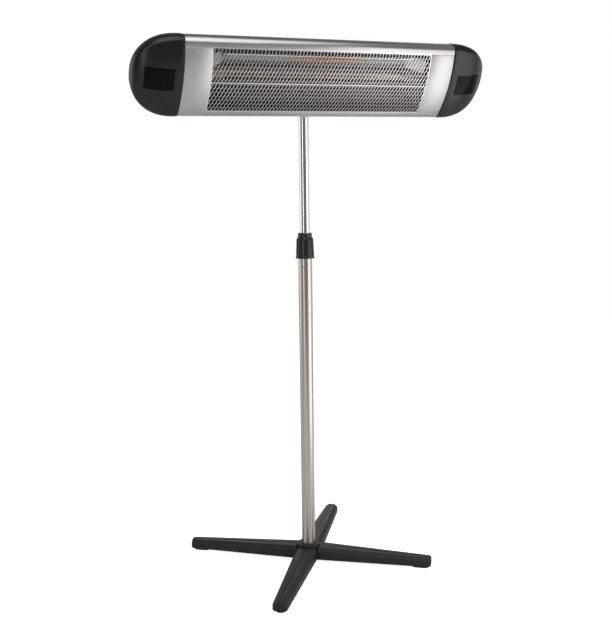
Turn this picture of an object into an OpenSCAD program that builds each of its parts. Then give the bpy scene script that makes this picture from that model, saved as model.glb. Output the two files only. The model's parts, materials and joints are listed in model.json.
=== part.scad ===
// Free-standing infrared patio heater: a long tilting heater head on a
// telescopic pole with a twist lock, standing on a heavy four-legged cross.
// Millimetres, +Z up, origin on the floor at the pole's axis.
// The head's long side runs along X and its guard faces -Y and downwards.

/* [Cross base] */
// Length of each leg, from the pole's axis to the tip
leg_reach = 326; // [280:1:420]
// Turn of the cross about the pole, from the head's long side
leg_turn = -36; // [-45:1:45]
// Width of a leg where the legs cross
leg_hub_w = 58; // [54:1:70]
// Width of a leg at its tip
leg_tip_w = 36; // [30:1:50]
// Height of a leg where the legs cross
leg_hub_h = 32; // [28:1:44]
// Height of a leg at its tip
leg_tip_h = 22; // [16:1:26]
// Width of the bevel along each upper edge of a leg
leg_bevel_w = 8; // [4:0.5:10]
// Height of that bevel
leg_bevel_h = 7; // [3:0.5:9]
// Corner cut at the tip, in plan
tip_cut = 6; // [2:0.5:10]
// Width of the groove along the crown
groove_w = 3; // [2:0.5:6]
// Depth of the groove
groove_d = 1.2; // [0.6:0.1:2]
// Height of a rubber foot
foot_h = 6; // [4:0.5:10]
// Length of a rubber foot
foot_len = 46; // [30:1:60]
// Width of a rubber foot
foot_w = 26; // [20:1:28]
// Distance from the tip to the foot's outer end
foot_inset = 5; // [2:0.5:10]
// Radius of the round plate that the pole stands in
hub_r = 30; // [24:0.5:40]
// Height of that plate
hub_h = 4.5; // [3:0.5:8]

/* [Pole] */
// Outside diameter of the lower tube
lower_d = 35; // [32:0.5:38]
// Wall of the lower tube
lower_wall = 1.5; // [1:0.1:2]
// Height of the lower tube's top end above the floor
lower_top = 828; // [700:1:1000]
// Outside diameter of the upper tube
upper_d = 25; // [22:0.5:28]
// Wall of the upper tube
upper_wall = 1.2; // [1:0.1:2]
// Length of the upper tube
upper_len = 758; // [650:1:900]
// Height of the tilt axis above the floor
pivot_z = 1228; // [1120:1:1450]
// Radial play of parts that slide or turn in each other
play = 0.05; // [0.02:0.01:0.1]
// Length of the guide bush inside the lower tube
bush_len = 46; // [30:1:60]

/* [Twist lock] */
// Height of the twist grip
grip_h = 64; // [56:1:80]
// Wall of the grip's bottom flange, outside the socket
flange_wall = 4.3; // [3:0.1:8]
// Wall of the grip where the ribs end, outside the collet
waist_wall = 3; // [2:0.1:4]
// Wall of the grip's neck, outside the upper tube
neck_wall = 4.9; // [2.5:0.1:6]
// Height of the grip's neck
grip_neck_h = 12; // [8:0.5:16]
// Number of ribs round the grip
grip_ribs = 16; // [8:1:24]
// Depth of the hollows between the ribs
rib_depth = 0.9; // [0.4:0.1:1]
// Wall of the socket around the lower tube
socket_wall = 1.8; // [1.4:0.1:2.8]
// Wall of the collet around the upper tube
collet_wall = 2.2; // [1.8:0.1:4]

/* [Head] */
// Tilt of the guard's face from upright, downwards
tilt = 28; // [0:1:40]
// Height of the housing, along the face
head_h = 188; // [180:1:200]
// Radius of the curved face
face_r = 257; // [220:1:400]
// Distance from the face's foremost line to its reference plane
face_sag = 11; // [9:0.5:12]
// Radius of the two long front corners
corner_r = 14; // [10:0.5:20]
// Depth of the back behind the front corners
back_depth = 66; // [60:1:80]
// Height of the flat along the back
back_flat = 48; // [44:1:60]
// Wall of the housing and of the face plates
sheet = 2; // [1.5:0.1:2.5]
// Height of the plain band above and below the guard
band_h = 19; // [17:0.5:30]
// Length of the plain plate at each end of the guard
plate_len = 63; // [50:1:120]
// Tilt axis behind the housing's back
pivot_off = 17.5; // [14:0.5:40]
// Tilt axis below the face's middle
pivot_drop = 54; // [40:1:60]

/* [End caps] */
// Length of a cap's straight rim
cap_rim = 8; // [4:0.5:16]
// Length of a cap's dome
cap_dome = 100; // [80:1:130]
// Bluntness of the dome, 2 being an ellipse
cap_power = 2.24; // [2:0.02:2.6]
// Depth of the dome's apex behind the reference plane
cap_apex = 30; // [20:1:45]
// How far a cap stands proud of the housing all round
cap_proud = 1.2; // [0.5:0.1:2]
// Wall of a cap
cap_wall = 2.6; // [2:0.1:4]
// Thickness of the sealing ring between cap and housing
gasket = 2; // [1:0.1:3]
// Height of the blank plate on each cap
badge_h = 50; // [30:1:60]
// Length of the blank plate on each cap
badge_len = 66; // [40:1:70]
// Thickness of the blank plate
badge_t = 0.8; // [0.5:0.1:1.5]

/* [Heating] */
// Outside diameter of the quartz tube
quartz_d = 19; // [15:0.5:22]
// Wall of the quartz tube
quartz_wall = 1.2; // [1:0.1:2]
// Length of the quartz tube between the sockets
quartz_len = 472; // [360:1:640]
// How much further than the sockets' faces the guard's opening reaches
window_reach = 41; // [38:1:60]
// Depth of the tube's axis behind the reference plane
tube_back = 30; // [24:1:34]
// Height of the tube's axis above the face's middle
tube_rise = 4; // [-4:1:6]
// Diameter of the heating element's spiral
element_d = 6; // [4:0.5:10]
// Height of the reflector's mouth
reflector_h = 100; // [84:1:108]
// Depth of the reflector's lips behind the reference plane
reflector_front = 12; // [10:1:16]
// Space between the reflector's floor and the housing's back
reflector_space = 22.5; // [20:0.5:26]
// Sheet thickness of the reflector
reflector_t = 1; // [0.8:0.1:1.5]
// Width of a mesh opening
mesh_w = 17; // [12:1:30]
// Height of a mesh opening
mesh_h = 40; // [24:1:50]
// Width of a mesh strand
strand = 2.4; // [1.5:0.1:3]

/* [Hidden] */

$fn = 64;
e = 0.01;

cast_black = "#2b2a29";
satin_black = "#1c1c1d";
brushed = "#a9a49e";
polished = "#c9c8c4";
anodised = "#b9b9b8";
zinc = "#9fa3a6";
rubber_black = "#242424";

// Base
lap_gap = 0.2;
lap_z = leg_hub_h / 2;
hub_z = foot_h + leg_hub_h;
bolt_r = 5;
bolt_gap = 0.05;
washer_r = 11;
washer_t = 2;
bolt_head_h = 6.4;
bolt_head_r = 8.5;
counterbore_r = 12;
counterbore_d = washer_t + bolt_head_h + 2;
plug_h = 36;
lap_screw_x = 21;
lap_screw_r = 2.5;
lap_head_r = 4.6;
lap_head_h = 2.6;
foot_post_r = 4;
foot_post_h = 5;
crown_slope = atan((leg_hub_h - leg_tip_h) / leg_reach);

// Pole and lock
lower_r = lower_d / 2;
lower_in = lower_r - lower_wall;
upper_r = upper_d / 2;
upper_in = upper_r - upper_wall;
pivot_r = 4;
ear_r = 13;
fork_plug = 30;
fork_collar = 10;
upper_top = pivot_z - ear_r - 10 - fork_collar;
upper_bottom = upper_top - upper_len;
bush_lip = 6;
socket_low = 22;
socket_up = 12;
socket_r = lower_r + socket_wall;
collet_r = upper_r + collet_wall;
collet_head_r = collet_r + 1.2;
collet_low = 10;
collet_head_h = 16;
collet_slit = 1.6;
grip_z = lower_top - 25;
grip_top = grip_z + grip_h;
grip_neck_z = grip_top - grip_neck_h;
grip_flange_h = 5;
skirt_gap = 0.4;
skirt_r = socket_r + skirt_gap;
cone_r = collet_head_r + 0.5;
neck_bore_r = upper_r + 0.6;
flange_r = skirt_r + flange_wall;
waist_r = cone_r + waist_wall;
neck_r = neck_bore_r + neck_wall;
socket_top = lower_top + socket_up;

// Housing profile: x is depth behind the reference plane, y is height
window_h = head_h - 2 * band_h;
window_len = quartz_len + 2 * window_reach;
housing_len = window_len + 2 * plate_len;
half_h = head_h / 2;
flat_half = back_flat / 2;
face_c = face_r - face_sag;
corner_y = half_h - corner_r;
corner_x = face_c - sqrt(pow(face_r - corner_r, 2) - pow(corner_y, 2));
corner_a = asin(corner_y / (face_r - corner_r));
back_x = corner_x + back_depth;
back_in = back_x - sheet;
pivot_back = back_x + pivot_off;
band_half = window_h / 2 + 1;
fit_gap = 0.15;

// Points along an arc after its first one, so that arcs join without a double
function arc(cx, cy, rx, ry, a0, a1, n) =
    [for (i = [1:n]) let (a = a0 + (a1 - a0) * i / n) [cx + rx * cos(a), cy + ry * sin(a)]];

// Upper half of the head's outline, moved inwards by inset
function half_outline(inset, n) = concat(
    [[inset - face_sag, 0]],
    arc(face_c, 0, face_r - inset, face_r - inset, 180, 180 - corner_a, n),
    arc(corner_x, corner_y, corner_r - inset, corner_r - inset, 180 - corner_a, 90, n),
    arc(corner_x, flat_half, back_depth - inset, half_h - flat_half - inset, 90, 0, 2 * n));

function flip(points) = [for (i = [len(points) - 1:-1:1]) [points[i][0], -points[i][1]]];
function outline(inset, n) = let (h = half_outline(inset, n)) concat(h, flip(h));
function face_depth(r, y) = face_c - sqrt(pow(r, 2) - pow(y, 2));

fine = 10;
coarse = 4;

// Window furniture
rail_t = 5;
rail_low = window_h / 2 - 6;
rail_high = corner_y + 1;
mesh_t = 1.4;
rail_r = face_r - sheet - 0.1;
mesh_r = rail_r + mesh_t;
bulk_t = 3;
spigot_len = 14;
bulk_x = housing_len / 2 - spigot_len - 2;
plate_gap = 0.3;
rod_r = 1.3;
rod_drop = 3;

// Caps
seam_x = housing_len / 2 + gasket;
dome_x = seam_x + cap_rim;
spigot_t = 2;
cap_screw_x = housing_len / 2 - spigot_len / 2;
cap_screw_y = 14;
cap_screw_r = 1.7;
cap_rings = 9;
badge_x = dome_x + 10;
badge_y = 3;

// Heating parts
quartz_r = quartz_d / 2;
socket_seat = 9;
socket_len = 38;
lamp_r = quartz_r + 2;
lamp_x = quartz_len / 2;
reflector_back = back_x - reflector_space;
refl_half = reflector_h / 2;
refl_len = quartz_len + 4;
refl_end_x = refl_len / 2 + 1;
refl_flare = 34;
flare_back = 45;
clip_x = lamp_x + 26;
clip_w = 6;
clip_t = 0.8;
lead_r = 1.6;
lead_rear = reflector_back + 5;
lead_rise = 12;

// Yoke
yoke_t = 3;
yoke_half_w = 40;
tongue_half = 12;
washer_gap = 0.1;
ear_x = tongue_half + 2;
yoke_screw_x = 30;
yoke_screw_y = 14;
yoke_screw_r = 2.5;
knob_x = ear_x + yoke_t + 1.8;

// Switch and gland on the back
switch_x = housing_len / 2 - 140;
switch_w = 15;
switch_h = 21;
rocker_r = 8.2;
rocker_w = 9.6;
rocker_x = back_x - 4.6;
gland_x = housing_len / 2 - 52;
gland_y = 10;
gland_r = 8;
gland_bore = 4;

// ---------- helpers ----------

module along_x(length, x = 0) {
    translate([x, 0, 0])
        rotate([90, 0, 90])
            linear_extrude(length)
                children();
}

module rod_x(r, length, x = 0) {
    translate([x, 0, 0])
        rotate([0, 90, 0])
            cylinder(r = r, h = length);
}

module in_head() {
    translate([0, 0, pivot_z])
        rotate([tilt, 0, 0])
            translate([0, -pivot_back, pivot_drop])
                children();
}

module in_cross(turn) {
    translate([0, 0, foot_h])
        rotate([0, 0, leg_turn + turn])
            children();
}

module on_side(side) {
    if (side > 0)
        children();
    else
        mirror([1, 0, 0])
            children();
}

// ---------- base ----------

module leg_section(w, h) {
    top = w - 2 * leg_bevel_w;
    rotate([90, 0, 90])
        linear_extrude(e)
            polygon([
                [-w / 2, 0], [w / 2, 0], [w / 2, h - leg_bevel_h],
                [top / 2, h], [-top / 2, h], [-w / 2, h - leg_bevel_h]
            ]);
}

module leg() {
    difference() {
        hull() {
            leg_section(leg_hub_w, leg_hub_h);
            translate([leg_reach - tip_cut, 0, 0])
                leg_section(leg_tip_w, leg_tip_h);
            translate([leg_reach - e, 0, 0])
                leg_section(leg_tip_w - 2 * tip_cut, leg_tip_h - 1);
        }
        translate([0, 0, leg_hub_h])
            rotate([0, crown_slope, 0])
                translate([hub_r + 4, -groove_w / 2, -groove_d])
                    cube([leg_reach, groove_w, 2 * groove_d]);
        foot_at()
            cylinder(r = foot_post_r + fit_gap, h = 2 * (foot_post_h + 0.5), center = true);
    }
}

module beam(notch_z, notch_h) {
    half = leg_hub_w / 2 + lap_gap;
    difference() {
        union() {
            leg();
            rotate([0, 0, 180])
                leg();
        }
        translate([-half, -leg_hub_w, notch_z])
            cube([2 * half, 2 * leg_hub_w, notch_h]);
        translate([0, 0, -1])
            cylinder(r = bolt_r + bolt_gap, h = leg_hub_h + 2);
    }
}

module lap_screw_places() {
    for (side = [-1, 1])
        translate([side * lap_screw_x, 0, 0])
            children();
}

module base_beam_lower() {
    color(cast_black)
        in_cross(0)
            difference() {
                beam(lap_z - lap_gap / 2, leg_hub_h);
                translate([0, 0, -1])
                    cylinder(r = counterbore_r, h = counterbore_d + 1);
                lap_screw_places() {
                    translate([0, 0, -1])
                        cylinder(r = lap_head_r + 0.3, h = lap_head_h + 2);
                    cylinder(r = lap_screw_r + bolt_gap, h = leg_hub_h);
                }
            }
}

module base_beam_upper() {
    color(cast_black)
        difference() {
            in_cross(90)
                beam(-leg_hub_h + lap_z + lap_gap / 2, leg_hub_h);
            in_cross(0)
                lap_screw_places()
                    cylinder(r = lap_screw_r + bolt_gap, h = leg_hub_h - 4);
        }
}

module hub_plate() {
    color(cast_black)
        translate([0, 0, hub_z])
            difference() {
                union() {
                    cylinder(r = hub_r, h = hub_h - 1);
                    translate([0, 0, hub_h - 1])
                        cylinder(r1 = hub_r, r2 = hub_r - 1, h = 1);
                }
                translate([0, 0, -1])
                    cylinder(r = lower_r + fit_gap, h = hub_h + 2);
            }
}

module foot_at() {
    translate([leg_reach - foot_inset - foot_len / 2, 0, 0])
        children();
}

module foot(turn) {
    mid = foot_len - foot_w;
    color(rubber_black)
        in_cross(turn)
            foot_at() {
                translate([0, 0, -foot_h])
                    linear_extrude(foot_h) {
                        square([mid, foot_w], center = true);
                        for (side = [-1, 1])
                            translate([side * mid / 2, 0])
                                circle(d = foot_w);
                    }
                cylinder(r = foot_post_r, h = foot_post_h);
            }
}

module foot_right() { foot(0); }
module foot_back() { foot(90); }
module foot_left() { foot(180); }
module foot_front() { foot(270); }

module pole_plug() {
    color(zinc)
        translate([0, 0, hub_z])
            difference() {
                cylinder(r = lower_in - fit_gap, h = plug_h);
                translate([0, 0, -1])
                    cylinder(r = bolt_r + bolt_gap, h = plug_h + 2);
            }
}

module base_bolt() {
    head_z = foot_h + counterbore_d - washer_t - bolt_head_h;
    color(zinc) {
        translate([0, 0, head_z])
            cylinder(r = bolt_head_r, h = bolt_head_h, $fn = 6);
        translate([0, 0, head_z])
            cylinder(r = bolt_r, h = hub_z + plug_h - 4 - head_z);
    }
}

module base_washer() {
    color(zinc)
        translate([0, 0, foot_h + counterbore_d - washer_t])
            difference() {
                cylinder(r = washer_r, h = washer_t);
                translate([0, 0, -1])
                    cylinder(r = bolt_r + bolt_gap, h = washer_t + 2);
            }
}

module lap_screws() {
    color(zinc)
        in_cross(0)
            lap_screw_places() {
                translate([0, 0, 1])
                    cylinder(r = lap_screw_r, h = leg_hub_h - 7);
                translate([0, 0, 0.4])
                    cylinder(r = lap_head_r, h = lap_head_h);
            }
}

// ---------- pole ----------

module lower_tube() {
    color(brushed)
        translate([0, 0, hub_z])
            difference() {
                cylinder(r = lower_r, h = lower_top - hub_z);
                translate([0, 0, -1])
                    cylinder(r = lower_in, h = lower_top - hub_z + 2);
            }
}

module collar_socket() {
    color(satin_black)
        difference() {
            translate([0, 0, lower_top - socket_low])
                cylinder(r = socket_r, h = socket_low + socket_up);
            translate([0, 0, lower_top - socket_low - 1])
                cylinder(r = lower_r + e, h = socket_low + 1);
            translate([0, 0, lower_top - 1])
                cylinder(r = collet_r + fit_gap, h = socket_up + 2);
        }
}

module collet_sleeve() {
    color("#3a3a3c")
        difference() {
            union() {
                translate([0, 0, socket_top - collet_low])
                    cylinder(r = collet_r, h = collet_low);
                translate([0, 0, socket_top + 0.1])
                    cylinder(r = collet_head_r, h = collet_head_h / 2);
                translate([0, 0, socket_top + 0.1 + collet_head_h / 2])
                    cylinder(r1 = collet_head_r, r2 = collet_r - 0.6, h = collet_head_h / 2);
                translate([0, 0, socket_top - e])
                    cylinder(r = collet_r, h = 0.2);
            }
            translate([0, 0, socket_top - collet_low - 1])
                cylinder(r = upper_r + play, h = collet_low + collet_head_h + 4);
            translate([0, -collet_slit / 2, socket_top + 2])
                cube([collet_head_r + 1, collet_slit, collet_head_h]);
        }
}

module grip_profile() {
    polygon([
        [skirt_r, 0], [flange_r, 0], [flange_r, grip_flange_h - 1],
        [flange_r - 1, grip_flange_h], [waist_r, grip_h - grip_neck_h - 2],
        [waist_r - 2, grip_h - grip_neck_h], [neck_r, grip_h - grip_neck_h],
        [neck_r, grip_h - 1.5], [neck_r - 1.5, grip_h], [neck_bore_r, grip_h],
        [neck_bore_r, grip_h - 5], [cone_r, grip_h - 9],
        [cone_r, socket_top - grip_z + 0.5], [skirt_r, socket_top - grip_z + 0.5]
    ]);
}

module collar_grip() {
    groove = 3;
    slope = atan((flange_r - 1 - waist_r) / (grip_h - grip_neck_h - grip_flange_h - 2));
    color(satin_black)
        translate([0, 0, grip_z])
            difference() {
                rotate_extrude()
                    grip_profile();
                for (i = [0:grip_ribs - 1])
                    rotate([0, 0, 360 * (i + 0.5) / grip_ribs])
                        translate([flange_r - 1, 0, grip_flange_h])
                            rotate([0, -slope, 0])
                                translate([-rib_depth, -groove / 2, 3])
                                    cube([4, groove, grip_h - grip_neck_h - grip_flange_h - 8]);
            }
}

module guide_bush() {
    color("#d8d6d0")
        translate([0, 0, upper_bottom - bush_lip])
            difference() {
                cylinder(r = lower_in - play, h = bush_len);
                translate([0, 0, -1])
                    cylinder(r = upper_in, h = bush_len);
                translate([0, 0, bush_lip - 0.3])
                    cylinder(r = upper_r + play, h = bush_len);
            }
}

module upper_tube() {
    color(polished)
        translate([0, 0, upper_bottom])
            difference() {
                cylinder(r = upper_r, h = upper_len);
                translate([0, 0, -1])
                    cylinder(r = upper_in, h = upper_len + 2);
                translate([0, 0, upper_len - fork_plug / 2])
                    rotate([90, 0, 0])
                        cylinder(r = 2 + bolt_gap, h = upper_d + 2, center = true);
            }
}

module mast_fork() {
    color(satin_black)
        difference() {
            union() {
                translate([0, 0, upper_top - fork_plug])
                    cylinder(r = upper_in - e, h = fork_plug);
                translate([0, 0, upper_top])
                    cylinder(r = upper_r + 1.5, h = fork_collar);
                translate([-tongue_half, -ear_r, upper_top + fork_collar - 1])
                    cube([2 * tongue_half, 2 * ear_r, pivot_z - upper_top - fork_collar + 1]);
                translate([0, 0, pivot_z])
                    rod_x(ear_r, 2 * tongue_half, -tongue_half);
            }
            translate([0, 0, pivot_z])
                rod_x(pivot_r + play, 2 * tongue_half + 2, -tongue_half - 1);
            translate([0, 0, upper_top - fork_plug / 2])
                rotate([90, 0, 0])
                    cylinder(r = 2 + bolt_gap, h = upper_d + 2, center = true);
        }
}

module mast_screws() {
    color(zinc)
        translate([0, 0, upper_top - fork_plug / 2])
            rotate([90, 0, 0]) {
                cylinder(r = 2, h = upper_d + 1, center = true);
                translate([0, 0, upper_r + 0.2])
                    cylinder(r = 3.6, h = 1.8);
            }
}

// ---------- tilting joint ----------

module pivot_bolt() {
    head_x = -ear_x - yoke_t - 1.6;
    color(zinc)
        translate([0, 0, pivot_z])
            rotate([tilt, 0, 0]) {
                rod_x(pivot_r, knob_x + 14 - head_x, head_x);
                rod_x(7, 5, head_x - 5, $fn = 6);
            }
}

module pivot_washers() {
    inner = tongue_half + washer_gap;
    color("#5a4a3c")
        translate([0, 0, pivot_z])
            difference() {
                union() {
                    rod_x(ear_r - 1, ear_x - inner, inner);
                    rod_x(ear_r - 1, ear_x - inner, -ear_x);
                    rod_x(8, 1.6, ear_x + yoke_t);
                    rod_x(8, 1.6, -ear_x - yoke_t - 1.6);
                }
                rod_x(pivot_r + e, 4 * ear_x, -2 * ear_x);
            }
}

module tilt_knob() {
    hub = 9;
    lobe = 5;
    color(satin_black)
        translate([0, 0, pivot_z])
            rotate([tilt, 0, 0])
                difference() {
                    union() {
                        rod_x(hub, 20, knob_x);
                        for (i = [0:5])
                            rotate([60 * i, 0, 0])
                                translate([0, hub + 2, 0])
                                    rod_x(lobe, 13, knob_x + 6);
                    }
                    rod_x(pivot_r + play, 16, knob_x - 1);
                }
}

module yoke_ear() {
    polygon([
        [back_x + yoke_t - 1, flat_half - 4], [back_x + yoke_t + 8, flat_half - 10],
        [pivot_back + ear_r, -pivot_drop + 1], [pivot_back - ear_r + 1, -pivot_drop],
        [back_x + yoke_t - 1, -flat_half + 1]
    ]);
    translate([pivot_back, -pivot_drop])
        circle(r = ear_r);
}

module yoke_bracket() {
    color(satin_black)
        in_head()
            difference() {
                union() {
                    translate([-yoke_half_w, back_x, -flat_half + 1])
                        cube([2 * yoke_half_w, yoke_t, 2 * flat_half - 2]);
                    along_x(yoke_t, ear_x)
                        yoke_ear();
                    along_x(yoke_t, -ear_x - yoke_t)
                        yoke_ear();
                }
                translate([0, pivot_back, -pivot_drop])
                    rod_x(pivot_r + e, 4 * ear_x, -2 * ear_x);
                yoke_screw_places()
                    cylinder(r = yoke_screw_r + bolt_gap, h = 3 * yoke_t, center = true);
            }
}

module yoke_screw_places() {
    for (x = [-1, 1], y = [-1, 1])
        translate([x * yoke_screw_x, back_x, y * yoke_screw_y])
            rotate([90, 0, 0])
                children();
}

module yoke_nut_plate() {
    color(zinc)
        in_head()
            difference() {
                translate([-yoke_half_w, back_in - yoke_t - 0.1, -flat_half + 3])
                    cube([2 * yoke_half_w, yoke_t, 2 * flat_half - 6]);
                yoke_screw_places()
                    cylinder(r = yoke_screw_r + bolt_gap, h = 40, center = true);
            }
}

module yoke_screws() {
    grip = yoke_t + sheet + yoke_t + 1;
    color(zinc)
        in_head()
            yoke_screw_places() {
                translate([0, 0, -yoke_t - 2.6])
                    cylinder(r = 4.6, h = 2.6);
                translate([0, 0, -yoke_t - 1])
                    cylinder(r = yoke_screw_r, h = grip + 1);
            }
}

// ---------- head ----------

module housing_shell() {
    color(anodised)
        in_head()
            difference() {
                along_x(housing_len, -housing_len / 2)
                    difference() {
                        polygon(outline(0, fine));
                        polygon(outline(sheet, fine));
                        translate([-face_sag - 1, -band_half])
                            square([corner_x + face_sag, 2 * band_half]);
                    }
                yoke_screw_places()
                    cylinder(r = yoke_screw_r + bolt_gap, h = 4 * sheet, center = true);
                cap_screw_places()
                    cylinder(r = cap_screw_r + bolt_gap, h = 4 * sheet, center = true);
                gland_place()
                    cylinder(r = gland_r + bolt_gap, h = 4 * sheet, center = true);
                translate([switch_x - switch_w / 2 + 1, back_x - 3 * sheet, -switch_h / 2 + 1])
                    cube([switch_w - 2, 6 * sheet, switch_h - 2]);
            }
}

module face_band(r_out, r_in, low, high) {
    intersection() {
        translate([face_c, 0])
            difference() {
                circle(r = r_out, $fn = 360);
                circle(r = r_in, $fn = 360);
            }
        translate([-face_sag - 1, low])
            square([face_sag + corner_x, high - low]);
    }
}

module face_plate(side) {
    from = window_len / 2;
    edge = band_half - plate_gap;
    color(anodised)
        in_head()
            on_side(side)
                along_x(housing_len / 2 - plate_gap - from, from)
                    face_band(face_r, face_r - sheet, -edge, edge);
}

module face_plate_left() { face_plate(-1); }
module face_plate_right() { face_plate(1); }

module guard_rail(low, high) {
    length = 2 * (bulk_x - plate_gap);
    color(anodised)
        in_head()
            along_x(length, -length / 2)
                face_band(rail_r, rail_r - rail_t, low, high);
}

module guard_rail_upper() { guard_rail(rail_low, rail_high); }
module guard_rail_lower() { guard_rail(-rail_high, -rail_low); }

module mesh_holes() {
    cols = floor(window_len / mesh_w / 2);
    rows = ceil(window_h / mesh_h);
    hole_w = mesh_w / 2 - strand * 0.7;
    hole_h = mesh_h / 2 - strand * 1.8;
    for (c = [-2 * cols + 1:2 * cols - 1], r = [-rows:rows])
        if ((c + r) % 2 == 0 && abs(r * mesh_h / 2) < rail_low)
            translate([c * mesh_w / 2, -2 * face_sag, r * mesh_h / 2])
                rotate([-90, 0, 0])
                    linear_extrude(4 * face_sag)
                        polygon([[-hole_w, 0], [0, hole_h], [hole_w, 0], [0, -hole_h]]);
}

module guard_mesh() {
    length = window_len - 2 * plate_gap;
    edge = band_half - plate_gap;
    color("#c4c2c0")
        in_head()
            difference() {
                along_x(length, -length / 2)
                    face_band(mesh_r, mesh_r - mesh_t, -edge, edge);
                mesh_holes();
            }
}

module guard_rod() {
    length = window_len + 16;
    color("#c4c2c0")
        in_head()
            translate([0, face_depth(mesh_r - mesh_t, rod_drop) + rod_r + 0.1, -rod_drop])
                rod_x(rod_r, length, -length / 2);
}

function reflector_half() = [
    [reflector_front, refl_half], [reflector_back * 0.62, refl_half * 0.84],
    [reflector_back * 0.88, refl_half * 0.5], [reflector_back, refl_half * 0.16]
];

module reflector_outline(thick) {
    half = reflector_half();
    lower = [for (i = [len(half) - 1:-1:0]) [half[i][0], -half[i][1]]];
    inner = concat(half, lower);
    back = [for (i = [len(inner) - 1:-1:0])
        [inner[i][0] + 0.8 * thick, inner[i][1] + thick * sign(inner[i][1])]];
    translate([0, tube_rise])
        polygon(concat(inner, back));
}

module reflector() {
    color(polished)
        in_head()
            along_x(refl_len, -refl_len / 2)
                reflector_outline(reflector_t);
}

module reflector_end(side) {
    t = 1.2;
    lip_x = refl_end_x + refl_flare;
    color(polished)
        in_head()
            on_side(side)
                difference() {
                    intersection() {
                        translate([0, 0, tube_rise - refl_half])
                            linear_extrude(reflector_h)
                                polygon([
                                    [refl_end_x, back_x], [refl_end_x, flare_back],
                                    [lip_x, reflector_front], [lip_x + t, reflector_front],
                                    [refl_end_x + t, flare_back + 0.4], [refl_end_x + t, back_x]
                                ]);
                        along_x(2 * refl_flare, refl_end_x - 1)
                            polygon(outline(sheet + fit_gap, coarse));
                    }
                    translate([0, tube_back, tube_rise])
                        rod_x(lamp_r + clip_t + 0.6, lamp_x + 60);
                    translate([0, lead_rear, tube_rise + lead_rise])
                        rod_x(lead_r + 1, lamp_x + 60);
                }
}

module reflector_end_left() { reflector_end(-1); }
module reflector_end_right() { reflector_end(1); }

module in_tube() {
    in_head()
        translate([0, tube_back, tube_rise])
            children();
}

module quartz_tube() {
    half = lamp_x + socket_seat;
    color("#c9b9a8")
        in_tube()
            difference() {
                rod_x(quartz_r, 2 * half, -half);
                rod_x(quartz_r - quartz_wall, 2 * half + 2, -half - 1);
            }
}

module heating_element() {
    half = lamp_x + socket_seat;
    color("#5b4a3d")
        in_tube()
            rod_x(element_d / 2, 2 * half, -half);
}

module lamp_socket(side) {
    color("#e4ded2")
        in_tube()
            on_side(side)
                difference() {
                    rod_x(lamp_r, socket_len, lamp_x);
                    rod_x(quartz_r + play, socket_seat + 1, lamp_x - 1);
                }
}

module lamp_socket_left() { lamp_socket(-1); }
module lamp_socket_right() { lamp_socket(1); }

module lamp_clip(side) {
    ring = lamp_r + play;
    color(zinc)
        in_tube()
            on_side(side) {
                difference() {
                    rod_x(ring + clip_t, clip_w, clip_x);
                    rod_x(ring, clip_w + 2, clip_x - 1);
                }
                translate([clip_x, ring + clip_t / 2, -2])
                    cube([clip_w, back_in - tube_back - ring - clip_t / 2, 4]);
            }
}

module lamp_clip_left() { lamp_clip(-1); }
module lamp_clip_right() { lamp_clip(1); }

module bulkhead(side) {
    color(anodised)
        in_head()
            on_side(side)
                difference() {
                    along_x(bulk_t, bulk_x)
                        polygon(outline(sheet + fit_gap, coarse));
                    translate([0, lead_rear, tube_rise + lead_rise])
                        rod_x(5, bulk_x + 20);
                    translate([0, tube_back, tube_rise])
                        rod_x(5, bulk_x + 20);
                }
}

module bulkhead_left() { bulkhead(-1); }
module bulkhead_right() { bulkhead(1); }

// ---------- end caps ----------

function dome_scale(u) = pow(1 - pow(u, cap_power), 1 / cap_power);

// One ring of a dome: the head's outline, shrunk towards the apex's depth
function dome_ring(inset, x, s) =
    [for (p = outline(inset, coarse)) [x, cap_apex + (p[0] - cap_apex) * s, p[1] * s]];

function dome_rings(inset, from, reach) =
    concat([dome_ring(inset, from, 1)],
        [for (i = [0:cap_rings - 1])
            let (u = sin(90 * i / cap_rings)) dome_ring(inset, dome_x + reach * u, dome_scale(u))]);

// A closed skin over a list of rings, with a point at its far end
module ring_solid(rings, apex_x) {
    n = len(rings[0]);
    m = len(rings);
    points = concat([for (ring = rings) each ring], [[apex_x, cap_apex, 0]]);
    sides = [for (j = [0:m - 2], i = [0:n - 1]) each [
        [j * n + i, (j + 1) * n + (i + 1) % n, (j + 1) * n + i],
        [j * n + i, j * n + (i + 1) % n, (j + 1) * n + (i + 1) % n]
    ]];
    tip = [for (i = [0:n - 1]) [(m - 1) * n + i, (m - 1) * n + (i + 1) % n, m * n]];
    mouth = [[for (i = [n - 1:-1:0]) i]];
    polyhedron(points = points, faces = concat(sides, tip, mouth));
}

module dome(grow, from) {
    ring_solid(dome_rings(-grow, from, cap_dome + grow), dome_x + cap_dome + grow);
}

module outline_ring(outer, inner, length, x) {
    along_x(length, x)
        difference() {
            polygon(outline(outer, coarse));
            polygon(outline(inner, coarse));
        }
}

module end_cap(side) {
    color(satin_black)
        in_head()
            on_side(side) {
                difference() {
                    dome(cap_proud, seam_x);
                    dome(cap_proud - cap_wall, seam_x - 1);
                }
                outline_ring(cap_wall - cap_proud - 1, sheet + fit_gap + spigot_t, 2.5, seam_x + 0.5);
                difference() {
                    outline_ring(sheet + fit_gap, sheet + fit_gap + spigot_t,
                        seam_x + 1 - bulk_x - bulk_t, bulk_x + bulk_t);
                    cap_screw_places()
                        cylinder(r = cap_screw_r + e, h = 20, center = true);
                }
            }
}

module end_cap_left() { end_cap(-1); }
module end_cap_right() { end_cap(1); }

module cap_gasket(side) {
    color(rubber_black)
        in_head()
            on_side(side)
                outline_ring(0.3, sheet, gasket - 2 * e, housing_len / 2 + e);
}

module cap_gasket_left() { cap_gasket(-1); }
module cap_gasket_right() { cap_gasket(1); }

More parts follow.
